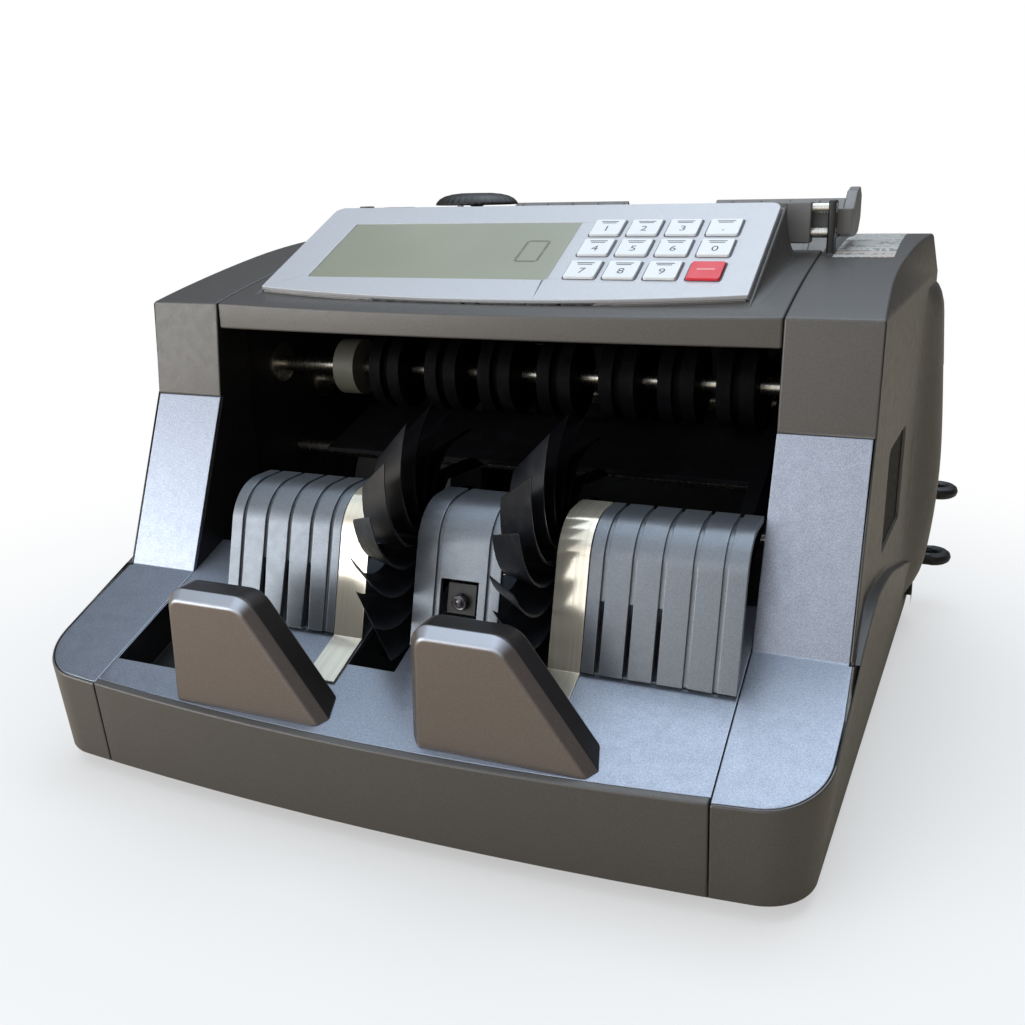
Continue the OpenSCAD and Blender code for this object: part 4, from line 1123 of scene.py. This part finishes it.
def floor_paint():
    """Pale paper that fades to white; only the camera sees it, lights and paint see a table."""
    g = Graph("floor_paper")
    paper = g.mix(g.noise(0.01, 3.0), (0.84, 0.83, 0.82), (0.88, 0.87, 0.86))
    g.set(Base_Color=paper, Roughness=0.8)
    g.bump(g.noise(0.4, 4.0), 0.02, 0.2)
    position = g.add("ShaderNodeNewGeometry").outputs["Position"]
    away = g.add("ShaderNodeVectorMath", operation="LENGTH")
    g.put(away.inputs[0], position)
    fade = g.span(away.outputs["Value"], FADE_FROM, FADE_TO, FADE_LEAST, 1.0)
    white = g.add("ShaderNodeEmission").outputs["Emission"]
    sheet = g.mix_shaders(fade, g.surface.outputs["BSDF"], white)
    by_camera = g.add("ShaderNodeLightPath").outputs["Is Camera Ray"]
    whole = g.mix_shaders(by_camera, table_seen_by_light(g, position), sheet)
    g.put(g.tree.nodes["Material Output"].inputs["Surface"], whole)
    return g.material


def floor():
    """One large sheet under the machine."""
    corners = [(-FLOOR_SIZE, -FLOOR_SIZE, 0), (FLOOR_SIZE, -FLOOR_SIZE, 0),
               (FLOOR_SIZE, FLOOR_SIZE, 0), (-FLOOR_SIZE, FLOOR_SIZE, 0)]
    mesh = bpy.data.meshes.new("floor")
    mesh.from_pydata(corners, [], [(0, 1, 2, 3)])
    mesh.materials.append(floor_paint())
    sheet = bpy.data.objects.new("floor", mesh)
    bpy.context.scene.collection.objects.link(sheet)


# Area lights: direction, distance, width and height in metres, watts, colour
LIGHTS = {
    "top_light": ((0.10, 0.36, 0.92), 1.1, 0.9, 0.7, 1.9, (1.0, 1.0, 1.0)),
    "window_light": ((-0.72, -0.69, 0.10), 1.3, 0.8, 0.5, 3.4, (0.96, 0.99, 1.0)),
    "front_fill": ((-0.05, -0.86, 0.50), 1.6, 0.7, 0.5, 1.5, (1.0, 1.0, 1.0)),
}


def soft_lights():
    """Area lights round the machine, facing its middle."""
    middle = Vector((0.0, -0.05, 0.08))
    for name, (towards, distance, width, height, watts, colour) in LIGHTS.items():
        data = bpy.data.lights.new(name, "AREA")
        data.shape = "RECTANGLE"
        data.size, data.size_y = width, height
        data.energy = watts
        data.color = colour
        light = bpy.data.objects.new(name, data)
        light.location = middle + Vector(towards).normalized() * distance
        light.rotation_euler = (light.location - middle).to_track_quat("Z", "Y").to_euler()
        bpy.context.scene.collection.objects.link(light)


# Soft bright regions of the surroundings: direction, cosine near which it ends, colour, strength
REGIONS = [((-0.70, -0.71, -0.02), 0.86, (0.97, 1.0, 1.0), 2.9),
           ((0.02, 0.36, 0.93), 0.80, (0.70, 0.86, 1.0), 1.65),
           ((-0.10, -0.90, 0.45), 0.88, (0.88, 0.93, 1.0), 0.45),
           ((-0.22, -0.36, 0.91), 0.94, (0.84, 0.93, 1.0), 1.3)]
AMBIENT = (0.115, 0.105, 0.10)
REGION_EDGE = 0.12


def region_light(g, towards, direction, ends, colour, strength):
    """Light of one bright region, strongest in its middle."""
    near = g.dot(towards, Vector(direction).normalized())
    tint = g.add("ShaderNodeVectorMath", operation="SCALE")
    g.put(tint.inputs[0], colour)
    g.put(tint.inputs["Scale"], g.span(near, ends - REGION_EDGE, 1.0, 0.0, strength))
    return tint.outputs["Vector"]


def world():
    """Soft bright regions in a dim room; the camera sees plain white."""
    surroundings = bpy.data.worlds.new("studio")
    surroundings.use_nodes = True
    bpy.context.scene.world = surroundings
    g = Nodes(surroundings.node_tree)
    g.tree.nodes.clear()
    towards = g.add("ShaderNodeTexCoord").outputs["Generated"]
    light = g.add("ShaderNodeRGB").outputs[0]
    light.default_value = (*AMBIENT, 1.0)
    for region in REGIONS:
        more = g.add("ShaderNodeVectorMath", operation="ADD")
        g.put(more.inputs[0], light)
        g.put(more.inputs[1], region_light(g, towards, *region))
        light = more.outputs["Vector"]
    room = g.add("ShaderNodeBackground")
    g.put(room.inputs["Color"], light)
    white = g.add("ShaderNodeBackground")
    g.put(white.inputs["Color"], (1.0, 1.0, 1.0))
    by_camera = g.add("ShaderNodeLightPath").outputs["Is Camera Ray"]
    whole = g.mix_shaders(by_camera, room.outputs["Background"], white.outputs["Background"])
    g.put(g.add("ShaderNodeOutputWorld").inputs["Surface"], whole)


def tone():
    """Plain colours, as a photograph on a white ground shows them."""
    bpy.context.scene.view_settings.view_transform = "Standard"


EYE = (0.1522, -0.3814, 0.1913)
YAW, PITCH, ROLL = (math.radians(angle) for angle in (-22.73, 16.73, -1.05))
SENSOR_MM, LENS_MM = 36.0, 37.3


def camera():
    """The viewing angle: from the right, a little above, looking down at the machine."""
    forward = Vector((math.sin(YAW) * math.cos(PITCH), math.cos(YAW) * math.cos(PITCH),
                      -math.sin(PITCH)))
    level = Vector((math.cos(YAW), -math.sin(YAW), 0.0))
    up = level.cross(forward)
    right = math.cos(ROLL) * level + math.sin(ROLL) * up
    top = -math.sin(ROLL) * level + math.cos(ROLL) * up
    data = bpy.data.cameras.new("camera")
    data.sensor_width = SENSOR_MM
    data.lens = LENS_MM
    data.clip_start, data.clip_end = 0.01, 20.0
    view = bpy.data.objects.new("camera", data)
    turn = Matrix((right, top, -forward)).transposed().to_4x4()
    view.matrix_world = Matrix.Translation(EYE) @ turn
    bpy.context.scene.collection.objects.link(view)
    bpy.context.scene.camera = view


def build():
    """Every new piece, then the materials of the CAD nodes that stay."""
    casing_shells()
    console_blends()
    rear_fairings()
    key_frames()
    key_legends()
    display_digit()
    stop_plates()
    tapered_splits()
    stacker_flaps()
    domed_knob()
    notice_label()
    dust_filter()
    sensor_lens()
    for name, slot in SLOT_OF.items():
        if name not in REPLACED:
            material = SPECIAL.get(name, BY_SLOT[slot])
            dress(NODES[name], material, BEVEL_MM.get(name, USUAL_BEVEL_MM))
    blacken_insides()


build()
floor()
world()
tone()
camera()
soft_lights()
